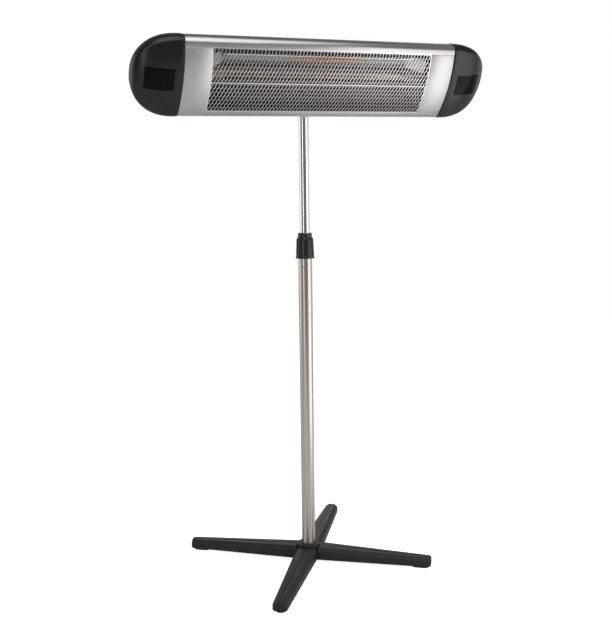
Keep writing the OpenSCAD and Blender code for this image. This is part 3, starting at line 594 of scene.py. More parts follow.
finishPiece(addPipe("lower_tube", pole["lowerWall"]), "stainless_lower_tube", "base", stainless,
            ["lower_tube"])
finishPiece(addPipe("upper_tube", pole["upperWall"]), "chrome_upper_tube", "mast", chrome,
            ["upper_tube"])

grip = {
    "ribs": 16, "perRib": 8,     # facets round the grip for each rib
    "hollows": (0, 1, 2, 3, 4),  # those of them that lie in the hollow
    "depth": 1.7, "flangeHeight": 5, "neckHeight": 12,
    "wall": 4.3, "taper": 2.8, "neckWall": 4.9, "boreGap": 0.6, "edge": 0.35,
}


def addGrip():
    low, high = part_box("collar_grip")
    height = (high.z - low.z) / mm
    flange = high.x / mm
    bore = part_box("upper_tube")[1].x / mm + grip["boreGap"]
    skirt = flange - grip["wall"]
    waist = flange - grip["taper"]
    neck = bore + grip["neckWall"]
    flangeTop = grip["flangeHeight"]
    neckLow = height - grip["neckHeight"]
    profile = ([(skirt, 0), (flange - 0.8, 0)] + arc(flange - 0.8, 0.8, 0.8, 0.8, -60, 0, 3)
               + [(flange, flangeTop - 1.2), (flange - 0.5, flangeTop - 0.4), (flange - 1.1, flangeTop)]
               + [(flange - 1.1, flangeTop + 2.2), (waist + 0.15, neckLow - 5), (waist, neckLow - 2.4)]
               + [(waist - 0.6, neckLow - 1), (neck + 0.6, neckLow), (neck, neckLow + 0.8)]
               + [(neck, height - 3.4), (neck - 0.5, height - 3)]
               + [(neck - 0.5, height - 2.4), (neck, height - 2)]
               + arc(neck - 1.5, height - 1.5, 1.5, 1.5, 0, 90, 4)
               + [(bore, height), (bore, height - 5), (skirt - 1.5, height - 9), (skirt, height - 26)])
    body = addTurned(profile, grip["ribs"] * grip["perRib"])
    step = 360 / (grip["ribs"] * grip["perRib"])

    def inHollow(face):
        place = face.calc_center_median()
        radius = sqrt(place.x ** 2 + place.y ** 2) / mm
        turn = int((atan2(place.y, place.x) * 180 / pi % 360) / step)
        rib = flangeTop + 2.2 < place.z / mm < neckLow - 2.4
        return rib and radius > waist - 0.8 and turn % grip["perRib"] in grip["hollows"]

    pick(body, "FACE", inHollow)
    bpy.ops.mesh.inset(thickness=0.25 * mm)
    bpy.ops.mesh.extrude_region_shrink_fatten(TRANSFORM_OT_shrink_fatten={"value": -grip["depth"] * mm})
    bpy.ops.transform.resize(value=(1, 1, 0.97), center_override=(0, 0, (flangeTop + neckLow) / 2 * mm))
    leaveEdit()
    roundEdges(body, grip["edge"], 3, 40)
    return body


finishPiece(addGrip(), "ribbed_twist_grip", "twist_grip", gripPlastic, ["collar_grip"],
            Matrix.Translation((0, 0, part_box("collar_grip")[0].z)), 30)
print("pole made")


head = {
    "faceRadius": 257, "cornerRadius": 14, "backDepth": 66, "backFlat": 48,
    "sheet": 2, "windowHalf": 76, "fine": 18,
    "grooves": (33, 41, 49),     # heights of the long grooves on the back of the extrusion
    "grooveHalf": 0.8, "grooveDepth": 0.5, "edge": 0.3, "plateEdge": 0.45, "plateCuts": 24,
}
halfHeight = (shellHigh.z - shellLow.z) / 2 / mm
housingEnd = shellHigh.x / mm
cornerZ = halfHeight - head["cornerRadius"]
faceToCorner = head["faceRadius"] - head["cornerRadius"]
cornerY = head["faceRadius"] - sqrt(faceToCorner ** 2 - cornerZ ** 2)
cornerAngle = asin(cornerZ / faceToCorner) * 180 / pi
backY = cornerY + head["backDepth"]


# The head's outline as (depth, height) points, from the middle of the face round the top, back and bottom
def headOutline(inset, count):
    flat = head["backFlat"] / 2
    upper = (arc(head["faceRadius"], 0, head["faceRadius"] - inset, head["faceRadius"] - inset,
                 180, 180 - cornerAngle, count)
             + arc(cornerY, cornerZ, head["cornerRadius"] - inset, head["cornerRadius"] - inset,
                   180 - cornerAngle, 90, count)[1:]
             + arc(cornerY, flat, head["backDepth"] - inset, halfHeight - flat - inset, 90, 0, 2 * count)[1:])
    lower = [(y, -z) for y, z in upper[-1:0:-1]]
    return upper + lower


def faceDepth(height, inset=0):
    radius = head["faceRadius"] - inset
    return head["faceRadius"] - sqrt(radius ** 2 - height ** 2)


# The outline is opened at the window, drawn out to its length, grooved on the back and given its wall
def addHousing():
    points = [(-housingEnd, y, z) for y, z in headOutline(0, head["fine"])]
    shell = addLoop(points)
    windowHalf = head["windowHalf"] * mm
    pick(shell, "VERT", lambda v: abs(v.co.z) < windowHalf - 0.5 * mm and v.co.y < cornerY * mm)
    bpy.ops.mesh.delete(type="VERT")
    leaveEdit()
    pick(shell, "VERT", lambda v: v.co.y < cornerY * mm and abs(v.co.z) < windowHalf + 3 * mm
         and len(v.link_edges) == 1)
    for vertex in bmesh.from_edit_mesh(shell.data).verts:
        if vertex.select:
            height = windowHalf / mm * (1 if vertex.co.z > 0 else -1)
            vertex.co = Vector((-housingEnd, faceDepth(height), height)) * mm
    leaveEdit()
    pick(shell, "EDGE", lambda e: True)
    bpy.ops.mesh.extrude_region_move(TRANSFORM_OT_translate={"value": (2 * housingEnd * mm, 0, 0)})
    leaveEdit()
    pick(shell, "FACE", lambda f: True)
    bpy.ops.mesh.normals_make_consistent(inside=False)
    leaveEdit()
    middlePoint = Vector((0, 40 * mm, 0))
    wrong = sum((p.center - middlePoint).dot(p.normal) < 0 for p in shell.data.polygons)
    if wrong > len(shell.data.polygons) / 2:
        shell.data.flip_normals()
    for height in head["grooves"]:
        for side in (-1, 1):
            low = height * mm

            def across(face):
                place = face.calc_center_median()
                near = abs(place.z - side * low) < (head["grooveHalf"] + 0.1) * mm
                return place.y > cornerY * mm and near

            for edge in (-head["grooveHalf"], head["grooveHalf"]):
                pick(shell, "FACE", lambda f: f.calc_center_median().y > cornerY * mm
                     and f.calc_center_median().z * side > 0)
                bpy.ops.mesh.bisect(plane_co=(0, 0, side * low + edge * mm), plane_no=(0, 0, 1))
                leaveEdit()
            pick(shell, "FACE", across)
            bpy.ops.mesh.extrude_region_shrink_fatten(
                TRANSFORM_OT_shrink_fatten={"value": -head["grooveDepth"] * mm})
            leaveEdit()
    shell.data.materials.append(band)
    # The inner wall takes the near-black as painted shade
    shell.data.materials.append(insideShadeBlack)
    applyModifier(shell, "SOLIDIFY", thickness=head["sheet"] * mm, offset=-1, material_offset=1)
    roundEdges(shell, head["edge"], 2, 50)
    return shell


finishPiece(addHousing(), "aluminium_housing", "head", [band, insideShadeBlack],
            ["housing_shell"], fromHead, 30)


def addFacePlate():
    low, high = headBox("face_plate_right")
    count = head["plateCuts"]
    heights = [low.z / mm + (high.z - low.z) / mm * i / count for i in range(count + 1)]
    outer = [(faceDepth(h), h) for h in heights]
    inner = [(faceDepth(h, head["sheet"]), h) for h in reversed(heights)]
    plate = addSlab(outer + inner, "X", low.x / mm, (high.x - low.x) / mm)
    roundEdges(plate, head["plateEdge"], 2, 50)
    return plate


plateModel = addFacePlate()
for side, turned in bothSides:
    finishPiece(copyOf(plateModel, turned), "satin_face_plate_" + side, "head", plateFinish,
                ["face_plate_" + side], fromHead, 30)
bpy.data.objects.remove(plateModel)
print("housing made")


guard = {
    "columns": 65, "pitchUp": 20,     # one mesh opening is 8.5 mm wide and 20 mm high
    "strand": 1.25, "thick": 0.7, "bond": 1.6, "margin": 1.4, "bends": 29,
}


def addGuard():
    low, high = headBox("guard_mesh")
    width = (high.x - low.x) / mm / guard["columns"]
    rise = guard["pitchUp"]
    half = guard["strand"] / 2
    bond = guard["bond"]
    rows = int((high.z - low.z) / mm / rise) + 1
    crotch = bond + (rise / 2 - 2 * bond) / (width / 2) * half     # where two strands part above a bond
    # A quarter of one link of the mesh, cut through the middle of its bonds; its open sides meet the next ones
    quarter = [(0, 0), (half, 0), (half, bond), (width / 2, rise / 2 - crotch), (width / 2, rise / 2),
               (width / 2 - half, rise / 2), (width / 2 - half, rise / 2 - bond), (0, crotch)]

    def atSeam(face):
        return any(all(abs(abs(v.co[axis]) - place * mm) < 0.01 * mm for v in face.verts)
                   for axis, place in ((0, 0), (0, width / 2), (2, 0), (2, rise / 2)))

    strands = []
    for sx in (-1, 1):
        for sz in (-1, 1):
            strand = addSlab([(sx * x, sz * z) for x, z in quarter], "Y", 0, guard["thick"])
            pick(strand, "FACE", atSeam)
            bpy.ops.mesh.delete(type="FACE")
            leaveEdit()
            strands.append(strand)
    tile = joinAll(strands)
    startX = low.x / mm + width / 2
    startZ = -rise * (rows - 1) / 2
    tile.data.transform(Matrix.Translation((startX * mm, 0, startZ * mm)))
    for count, step in ((guard["columns"], (width * mm, 0, 0)), (rows, (0, 0, rise * mm))):
        applyModifier(tile, "ARRAY", count=count, use_relative_offset=False, use_constant_offset=True,
                      constant_offset_displace=step)
    cleanMesh(tile)
    margin = guard["margin"] * mm
    for co, normal in (((low.x + margin, 0, 0), (-1, 0, 0)), ((high.x - margin, 0, 0), (1, 0, 0)),
                       ((0, 0, low.z + margin), (0, 0, -1)), ((0, 0, high.z - margin), (0, 0, 1))):
        pick(tile, "FACE", lambda f: True)
        bpy.ops.mesh.bisect(plane_co=co, plane_no=normal, clear_outer=True, use_fill=True)
        leaveEdit()
    pieces = [tile]
    wide, tall, edge = high.x / mm, high.z / mm, guard["margin"]
    for z in (-tall, tall - edge):
        pieces.append(addBox((-wide, 0, z), (wide, guard["thick"], z + edge)))
    sideTop = tall - edge - 0.01     # a hair short, so that the bars' corners stay apart
    for x in (-wide, wide - edge):
        bar = addBox((x, 0, -sideTop), (x + edge, guard["thick"], sideTop))
        pick(bar, "EDGE", lambda e: abs(e.verts[0].co.z - e.verts[1].co.z) > mm)
        bpy.ops.mesh.subdivide(number_cuts=guard["bends"])
        leaveEdit()
        pieces.append(bar)
    mesh = joinAll(pieces)
    cleanMesh(mesh)
    mesh.data.materials.append(guardFinish)
    mesh.data.materials.append(guardPaintedShade)
    # Alternate quarters of every link take the darker copy, as painted shade; the bars keep the bright sheet
    for face in mesh.data.polygons:
        u = (face.center.x / mm - startX) / width % 1
        v = (face.center.z / mm - startZ) / rise % 1
        onBar = abs(face.center.x) > high.x - margin or abs(face.center.z) > high.z - margin
        face.material_index = int((u < 0.5) != (v < 0.5) and not onBar)
    radius = head["faceRadius"] - low.y / mm
    for vertex in mesh.data.vertices:
        height = vertex.co.z / mm
        vertex.co.y += (head["faceRadius"] - sqrt(radius ** 2 - height ** 2)) * mm
    return mesh


finishPiece(addGuard(), "expanded_guard", "head", [guardFinish, guardPaintedShade], ["guard_mesh"],
            fromHead, 30)
print("guard made")


reflector = {
    "sheet": 1.0, "lip": 3.0, "edge": 0.25,
    "folds": ((1, 1.0), (26, 0.84), (42, 0.5), (49, 0.16)),     # depth in mm, share of the half height
}


def addReflector():
    low, high = headBox("reflector")
    mid = (low.z + high.z) / 2 / mm
    half = (high.z - low.z) / 2 / mm
    front = low.y / mm
    upper = [(front, half + reflector["lip"]), (front, half + 1)]
    upper = upper + [(front + depth, half * share) for depth, share in reflector["folds"]]
    inner = upper + [(y, -z) for y, z in reversed(upper)]
    thick = reflector["sheet"]
    outer = [(y + thick, z + (0 if y == front else thick) * (1 if z > 0 else -1)) for y, z in reversed(inner)]
    outline = [(y, z + mid) for y, z in inner + outer]
    sheet = addSlab(outline, "X", low.x / mm, (high.x - low.x) / mm)
    roundEdges(sheet, reflector["edge"], 2, 15)
    return sheet


finishPiece(addReflector(), "folded_reflector", "head", mirror, ["reflector"], fromHead, 12)

lamp = {
    "glass": 1.2, "wire": 0.45, "pitch": 3.4, "turns": 140, "bend": 2.5, "sides": 6, "steps": 12,
    "groove": (14, 21), "grooveDepth": 1.2, "socketBack": 6, "leadHole": 2.4,
}
tubeLow, tubeHigh = headBox("quartz_tube")
tubeOuter = (tubeHigh.z - tubeLow.z) / 2 / mm
alongX = Matrix.Rotation(pi / 2, 4, "Y")
lampPlace = fromHead @ Matrix.Translation(tubeMiddle)
tubeHalf = tubeHigh.x / mm
glassTube = addTurned(ringProfile(tubeOuter - lamp["glass"], tubeOuter, -tubeHalf, tubeHalf, 0.3), 64)
glassTube.data.transform(alongX)
finishPiece(glassTube, "quartz_glass_tube", "head", [quartz, silvering], ["quartz_tube"], lampPlace)
for face in glassTube.data.polygons:
    across = (toHead @ face.center) - tubeMiddle
    inside = sqrt(across.y ** 2 + across.z ** 2) < (tubeOuter - lamp["glass"] / 2) * mm
    face.material_index = int(inside and across.y > 0)


def addCoil():
    ring = addLoop([(0, lamp["bend"] + lamp["wire"] * cos(a), lamp["wire"] * sin(a))
                    for a in [2 * pi * i / lamp["sides"] for i in range(lamp["sides"])]])
    ring.data.transform(Matrix.Rotation(pi / 2, 4, "Y"))
    ring.data.transform(Matrix.Translation((-lamp["pitch"] * lamp["turns"] / 2 * mm, 0, 0)))
    applyModifier(ring, "SCREW", axis="X", angle=2 * pi, screw_offset=lamp["pitch"] * mm,
                  iterations=lamp["turns"], steps=lamp["steps"], render_steps=lamp["steps"])
    pick(ring, "EDGE", lambda e: e.is_boundary)
    bpy.ops.mesh.fill_holes(sides=8)
    leaveEdit()
    cleanMesh(ring)
    return ring


finishPiece(addCoil(), "wound_element", "head", wire, ["heating_element"], lampPlace, 60)


def addSocket(side, node):
    low, high = headBox(node)
    radius = (high.z - low.z) / 2 / mm
    length = (high.x - low.x) / mm
    bore = tubeOuter + 0.1
    grooveLow, grooveHigh = lamp["groove"]
    waist = radius - lamp["grooveDepth"]
    back = length - lamp["socketBack"]
    profile = [(bore, 0), (radius - 0.6, 0), (radius, 0.6), (radius, grooveLow), (waist, grooveLow + 1),
               (waist, grooveHigh - 1), (radius, grooveHigh), (radius, length - 1), (radius - 1, length),
               (lamp["leadHole"], length), (lamp["leadHole"], back), (bore - 3, back), (bore - 3, 9),
               (bore, 9)]
    socket = addTurned(profile, 48)
    face = low.x if side > 0 else high.x
    mid = middle((low, high))
    turned = Matrix.Rotation(side * pi / 2, 4, "Y")
    return socket, fromHead @ Matrix.Translation((face, mid.y, mid.z)) @ turned


for side, name in ((-1, "lamp_socket_left"), (1, "lamp_socket_right")):
    socket, place = addSocket(side, name)
    finishPiece(socket, "steatite_" + name, "head", ceramic, [name], place)
print("lamp made")


cap = {
    "gasket": 2, "rim": 8, "power": 2.24, "apex": 41, "proud": 1.0, "wall": 2.6, "fine": 14,
    "rings": 26, "grooveDepth": 0.35, "grooveWidth": 0.8, "grooveFlank": 0.2, "gap": 0.3, "edge": 0.35,
    "badgeProud": 0.7, "badgeCuts": (28, 22), "badgeEdge": 0.3, "gasketWall": 1.6, "gasketInset": 0.25,
}
seamX = housingEnd + cap["gasket"]


# Rings go outward from the seam, straight along the rim and then in along the dome to one point
def addCap():
    outline = headOutline(-cap["proud"], cap["fine"])
    shell = addLoop([(seamX + cap["gap"], y, z) for y, z in outline])
    apex = (0, cap["apex"] * mm, 0)

    def nextRing(forward, scale):
        bpy.ops.mesh.extrude_region_move(TRANSFORM_OT_translate={"value": (forward * mm, 0, 0)})
        bpy.ops.transform.resize(value=(1, scale, scale), center_override=apex)

    pick(shell, "EDGE", lambda e: True)
    deep = 1 - cap["grooveDepth"] / halfHeight
    wide, flank = cap["grooveWidth"], cap["grooveFlank"]
    nextRing(cap["rim"] - 1 - wide, 1)
    nextRing(flank, deep)
    nextRing(wide - 2 * flank, 1)
    nextRing(flank, 1 / deep)
    nextRing(1, 1)
    reach = headBox("end_cap_right")[1].x / mm - seamX - cap["gap"] - cap["rim"]
    last = (0.0, 1.0)
    for i in range(1, cap["rings"]):
        u = sin(pi / 2 * i / cap["rings"])
        scale = (1 - u ** cap["power"]) ** (1 / cap["power"])
        nextRing((u - last[0]) * reach, scale / last[1])
        last = (u, scale)
    bpy.ops.mesh.extrude_region_move(TRANSFORM_OT_translate={"value": ((1 - last[0]) * reach * mm, 0, 0)})
    bpy.ops.mesh.merge(type="CENTER")
    leaveEdit()
    cleanMesh(shell)
    applyModifier(shell, "SOLIDIFY", thickness=cap["wall"] * mm, offset=-1)
    roundEdges(shell, cap["edge"], 2, 50)
    return shell


capModel = addCap()


# A flat grid thrown backward onto the cap, so that the inlay follows its dome
def addBadge(target):
    low, high = headBox("cap_badge_right")
    x0, x1, z0, z1 = low.x / mm, high.x / mm, low.z / mm, high.z / mm
    clearSelection()
    across, up = cap["badgeCuts"]
    bpy.ops.mesh.primitive_grid_add(x_subdivisions=across, y_subdivisions=up, size=1)
    badge = bpy.context.object
    badge.data.transform(Matrix.Diagonal(((x1 - x0) * mm, (z1 - z0) * mm, 1, 1)))
    badge.data.transform(Matrix.Translation(((x0 + x1) / 2 * mm, -20 * mm, (z0 + z1) / 2 * mm))
                         @ Matrix.Rotation(pi / 2, 4, "X"))
    applyModifier(badge, "SHRINKWRAP", target=target, wrap_method="PROJECT", use_project_y=True,
                  use_positive_direction=True, use_negative_direction=False)
    pick(badge, "FACE", lambda f: True)
    bpy.ops.mesh.normals_make_consistent(inside=False)
    leaveEdit()
    if sum(p.normal.y > 0 for p in badge.data.polygons) > len(badge.data.polygons) / 2:
        badge.data.flip_normals()
    applyModifier(badge, "SOLIDIFY", thickness=cap["badgeProud"] * mm, offset=1)
    roundEdges(badge, cap["badgeEdge"], 2, 50)
    return badge


def addGasket():
    outer = headOutline(cap["gasketInset"], cap["fine"])
    ring = addLoop([(housingEnd + 0.02, y, z) for y, z in outer])
    pick(ring, "EDGE", lambda e: True)
    bpy.ops.mesh.extrude_region_move(TRANSFORM_OT_translate={"value": ((cap["gasket"] - 0.04) * mm, 0, 0)})
    leaveEdit()
    cleanMesh(ring)
    applyModifier(ring, "SOLIDIFY", thickness=cap["gasketWall"] * mm, offset=-1)
    return ring


badgeModel = addBadge(capModel)
gasketModel = addGasket()
for side, turned in bothSides:
    finishPiece(copyOf(capModel, turned), "dome_cap_" + side, "head", blackPlastic,
                ["end_cap_" + side], fromHead, 40)
    finishPiece(copyOf(badgeModel, turned), "blank_inlay_" + side, "head", inlay,
                ["cap_badge_" + side], fromHead, 40)
    finishPiece(copyOf(gasketModel, turned), "seal_ring_" + side, "head", rubber,
                ["cap_gasket_" + side], fromHead, 40)
for model in (capModel, badgeModel, gasketModel):
    bpy.data.objects.remove(model)
print("end caps made")


def addPanScrew(radius, height, slot):
    profile = ([(0, 0), (radius, 0), (radius, height * 0.35)]
               + arc(radius * 0.45, height * 0.35, radius * 0.55, height * 0.65, 0, 90, 6) + [(0, height)])
    screw = addTurned(profile, 40)
    for turn in (0, 90):
        blade = addBox((-slot * 2.2, -slot / 2, height * 0.45), (slot * 2.2, slot / 2, height + 1))
        blade.data.transform(Matrix.Rotation(radians(turn), 4, "Z"))
        cutAway(screw, blade)
    roundEdges(screw, 0.12, 2, 40)
    return screw


def copyScrews(model, places, name, node):
    copies = [copyOf(model, place) for place in places]
    group = joinAll(copies)
    finishPiece(group, name, "head", zinc, [node])
    bpy.data.objects.remove(model)


yoke = {
    "sheet": 3, "halfWidth": 40, "ear": 14, "earRadius": 13, "edge": 0.5, "corner": 6,
    "screwX": 30, "screwZ": 14, "screwRadius": 4.6, "screwHeight": 2.6,
    "screwSlot": 0.9, "earSlope": 9, "earDrop": 10,
}
pivotHead = (toHead @ pivot) / mm
boltBore = 4.05


def addBoltHole(place):
    hole = addTurned([(0, -40), (0, 40), (boltBore, 40), (boltBore, -40)], 32)
    hole.data.transform(Matrix.Translation(place) @ alongX)
    return hole


def addYoke():
    back = backY
    flat = head["backFlat"] / 2 - 1
    wide = yoke["halfWidth"]
    r = yoke["corner"]
    outline = (arc(wide - r, flat - r, r, r, 0, 90, 6) + arc(-wide + r, flat - r, r, r, 90, 180, 6)
               + arc(-wide + r, -flat + r, r, r, 180, 270, 6) + arc(wide - r, -flat + r, r, r, 270, 360, 6))
    plate = addSlab(outline, "Y", back, yoke["sheet"])
    er = yoke["earRadius"]
    py, pz = pivotHead.y, pivotHead.z
    top = (back + yoke["sheet"] - 1, flat - 3)
    shape = ([top, (top[0] + yoke["earSlope"], flat - yoke["earDrop"])] + arc(py, pz, er, er, 8, -172, 20)
             + [(back + yoke["sheet"] - 1, -flat)])
    parts = [plate]
    for x in (yoke["ear"], -yoke["ear"] - yoke["sheet"]):
        ear = addSlab(shape, "X", x, yoke["sheet"])
        cutAway(ear, addBoltHole((0, py * mm, pz * mm)))
        parts.append(ear)
    for part in parts:
        roundEdges(part, yoke["edge"], 2, 40)
    return joinAll(parts)


finishPiece(addYoke(), "bent_yoke", "head", enamel, ["yoke_bracket"], fromHead, 30)
backFace = backY + yoke["sheet"]
screwModel = addPanScrew(yoke["screwRadius"], yoke["screwHeight"], yoke["screwSlot"])
copyScrews(screwModel, [fromHead @ stand((x * yoke["screwX"], backFace, z * yoke["screwZ"]), (0, 1, 0))
                        for x in (-1, 1) for z in (-1, 1)], "yoke_pan_screws", "yoke_screws")
capScrew = {"radius": 3.4, "height": 2.0, "slot": 0.8}
capScrewHigh = headBox("cap_screws")[1] / mm
capScrewX = capScrewHigh.x - capScrew["radius"]
capScrewZ = capScrewHigh.z - capScrew["radius"]
screwModel = addPanScrew(*capScrew.values())
copyScrews(screwModel, [fromHead @ stand((x * capScrewX, backY, z * capScrewZ), (0, 1, 0))
                        for x in (-1, 1) for z in (-1, 1)], "cap_pan_screws", "cap_screws")

fork = {"half": 12, "radius": 13, "collar": 1.5, "collarHeight": 10, "plug": 30, "fit": 0.02, "edge": 0.8}


def addFork():
    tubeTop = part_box("upper_tube")[1].z / mm
    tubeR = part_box("upper_tube")[1].x / mm
    pz = pivot.z / mm
    r = fork["radius"]
    outline = arc(0, pz, r, r, 0, 180, 24) + [(-r, tubeTop + fork["collarHeight"] - 1),
                                              (r, tubeTop + fork["collarHeight"] - 1)]
    tongue = addSlab(outline, "X", -fork["half"], 2 * fork["half"])
    cutAway(tongue, addBoltHole((0, 0, pivot.z)))
    roundEdges(tongue, fork["edge"], 3, 40)
    plugR = tubeR - pole["upperWall"] - fork["fit"]
    outer = tubeR + fork["collar"]
    top = tubeTop + fork["collarHeight"]
    profile = [(0, tubeTop - fork["plug"]), (plugR - 1, tubeTop - fork["plug"]),
               (plugR, tubeTop - fork["plug"] + 1), (plugR, tubeTop), (outer - 0.6, tubeTop),
               (outer, tubeTop + 0.6), (outer, top - 1.2), (outer - 1.2, top), (0, top)]
    collar = addTurned(profile, 64)
    return joinAll([tongue, collar])


finishPiece(addFork(), "forged_mast_fork", "mast", enamel, ["mast_fork"], None, 30)

boltLow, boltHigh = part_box("pivot_bolt")


def addHexHead(radius, height, shaft, length):
    corners = [(radius * cos(radians(60 * i)), radius * sin(radians(60 * i))) for i in range(6)]
    hexHead = addSlab(corners, "Z", 0, height)
    cone = addTurned([(0, height + 1), (radius * 3, height + 1), (radius * 3, height - 2.2),
                      (radius - 0.1, height - 1.1), (radius * 0.82, height), (0, height)], 48)
    cutAway(hexHead, cone)
    roundEdges(hexHead, 0.2, 2, 30)
    rod = addTurned([(0, -length), (shaft - 0.6, -length), (shaft, -length + 0.6), (shaft, 0), (0, 0)], 40)
    return joinAll([hexHead, rod])


boltHead = {"radius": 7, "height": 5, "shaft": 4}
boltLength = (boltHigh.x - boltLow.x) / mm - boltHead["height"]
boltFace = Matrix.Translation((boltLow.x + boltHead["height"] * mm, pivot.y, pivot.z))
finishPiece(addHexHead(*boltHead.values(), boltLength), "hex_pivot_bolt", "head", zinc,
            ["pivot_bolt"], boltFace @ Matrix.Rotation(-pi / 2, 4, "Y"))

knob = {"inner": 13, "lobe": 3, "lobes": 6, "hub": 9, "length": 20, "lobeStart": 6, "lobeLength": 13,
        "edge": 1.6}


def addKnob():
    count = 96
    outline = [((knob["inner"] + knob["lobe"] * cos(knob["lobes"] * a)) * cos(a),
                (knob["inner"] + knob["lobe"] * cos(knob["lobes"] * a)) * sin(a))
               for a in [2 * pi * i / count for i in range(count)]]
    star = addSlab(outline, "Z", knob["lobeStart"], knob["lobeLength"])
    roundEdges(star, knob["edge"], 4, 50)
    stem, length = knob["hub"], knob["length"]
    profile = [(boltBore, 0), (stem - 0.6, 0), (stem, 0.6), (stem, length - 1.4), (stem - 1.4, length),
               (6.4, length), (6.0, length - 0.5), (0.01, length - 0.5), (0.01, length - 3),
               (boltBore, length - 3)]
    return joinAll([star, addTurned(profile, 64)])


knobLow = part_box("tilt_knob")[0]
finishPiece(addKnob(), "lobed_clamp_knob", "clamp_knob", gripPlastic, ["tilt_knob"],
            Matrix.Translation((knobLow.x, pivot.y, pivot.z)) @ Matrix.Rotation(tilt, 4, "X") @ alongX, 40)
print("tilting joint made")


gland = {"hex": 11, "hexHeight": 6, "nut": 9, "nutHeight": 8, "bore": 4.05, "ridges": 24,
         "ridgeDepth": 0.45, "dome": (3.4, 4.4), "edge": 0.4}
glandSpot = Vector(mounts["cord_entry"]["pos_m"])
glandHead = (toHead @ glandSpot) / mm


def addGland():
    corners = [(gland["hex"] * cos(radians(60 * i)), gland["hex"] * sin(radians(60 * i))) for i in range(6)]
    flange = addSlab(corners, "Z", 0, gland["hexHeight"])
    hole = addTurned([(0, -5), (0, 20), (gland["bore"], 20), (gland["bore"], -5)], 32)
    cutAway(flange, hole)
    roundEdges(flange, gland["edge"], 2, 40)
    low = gland["hexHeight"]
    high = low + gland["nutHeight"]
    nut = gland["nut"]
    inward, drop = gland["dome"]
    profile = ([(gland["bore"], low - 6), (nut - 0.2, low - 0.1), (nut, low + 0.4), (nut, high - drop - 0.1)]
               + arc(nut - inward, high - drop, inward, drop, 0, 80, 6) + [(gland["bore"], high)])
    cup = addTurned(profile, gland["ridges"] * 4)

    def onRidge(face):
        place = face.calc_center_median()
        turn = int((atan2(place.y, place.x) * 180 / pi % 360) / (90 / gland["ridges"]))
        outside = sqrt(place.x ** 2 + place.y ** 2) > (nut - 0.3) * mm
        return outside and turn % 4 < 2 and low + 0.4 < place.z / mm < high - drop

    pick(cup, "FACE", onRidge)
    bpy.ops.mesh.extrude_region_shrink_fatten(TRANSFORM_OT_shrink_fatten={"value": -gland["ridgeDepth"] * mm})
    leaveEdit()
    roundEdges(cup, 0.1, 1, 50)
    return joinAll([flange, cup])


finishPiece(addGland(), "ribbed_cord_gland", "head", blackPlastic, ["cable_gland"],
            fromHead @ stand((glandHead.x, backY, glandHead.z), (0, 1, 0)), 35)

switchLow, switchHigh = headBox("switch_frame")
rockerLow, rockerHigh = headBox("switch_rocker")
rocker = {
    "rim": 2, "edge": 0.5, "gap": 0.3, "wall": 1.2, "step": 2, "pivotDepth": 4.6, "keyEdge": 0.35,
    "section": ((-5, -6.4), (4.9, -8.2), (5.6, -6), (5.9, -2), (6.2, 1), (6.8, 4), (7.4, 6.6), (4.9, 6.4),
                (-5, 6.4)),     # the key seen from its end, as (depth, height) from its pivot
}


def addSwitchFrame():
    x0, x1 = switchLow.x / mm, switchHigh.x / mm
    z0, z1 = switchLow.z / mm, switchHigh.z / mm
    plate = addBox((x0, backY, z0), (x1, backY + rocker["rim"], z1))
    gap, wall, step = rocker["gap"], rocker["wall"], rocker["step"]
    hole = addBox((rockerLow.x / mm - gap, backY - 8, z0 + step),
                  (rockerHigh.x / mm + gap, backY + 9, z1 - step))
    well = addBox((x0 + wall, switchLow.y / mm, z0 + wall), (x1 - wall, backY, z1 - wall))
    pocket = copyOf(hole, Matrix.Identity(4))
    cutAway(plate, hole)
    cutAway(well, pocket)
    roundEdges(plate, rocker["edge"], 3, 40)
    return joinAll([plate, well])


finishPiece(addSwitchFrame(), "switch_bezel", "head", switchPlastic, ["switch_frame"],
            fromHead, 35)


def addRocker():
    mid = (rockerLow.z + rockerHigh.z) / 2 / mm
    axisY = backY - rocker["pivotDepth"]
    outline = [(axisY + y, mid + z) for y, z in rocker["section"]]
    key = addSlab(outline, "X", rockerLow.x / mm, (rockerHigh.x - rockerLow.x) / mm)
    roundEdges(key, rocker["keyEdge"], 2, 30)
    return key


finishPiece(addRocker(), "rocker_key", "rocker", inlay, ["switch_rocker"], fromHead, 35)
print("gland and switch made")

# Pieces kept as the CAD has them, under each of their finishes
kept = {
    zinc: ["pole_plug", "base_bolt", "base_washer", "lap_screws", "mast_screws", "yoke_nut_plate",
           "lamp_clip_left", "lamp_clip_right"],
    blackPlastic: ["collar_socket", "gland_nut"],
    nylon: ["collet_sleeve", "guide_bush"],
    fibre: ["pivot_washers"],
    # Near-black as painted shade on the rails and bulkheads
    insideShadeBlack: ["guard_rail_upper", "guard_rail_lower", "bulkhead_left", "bulkhead_right"],
    guardFinish: ["guard_rod"],
    mirror: ["reflector_end_left", "reflector_end_right"],
    ceramic: ["terminal_block"],
    brass: ["thermal_cutout"],
    switchPlastic: ["tip_over_switch"],
    sleeve: ["heater_leads"],
}
for material, names in kept.items():
    for name in names:
        dressNode(name, material)


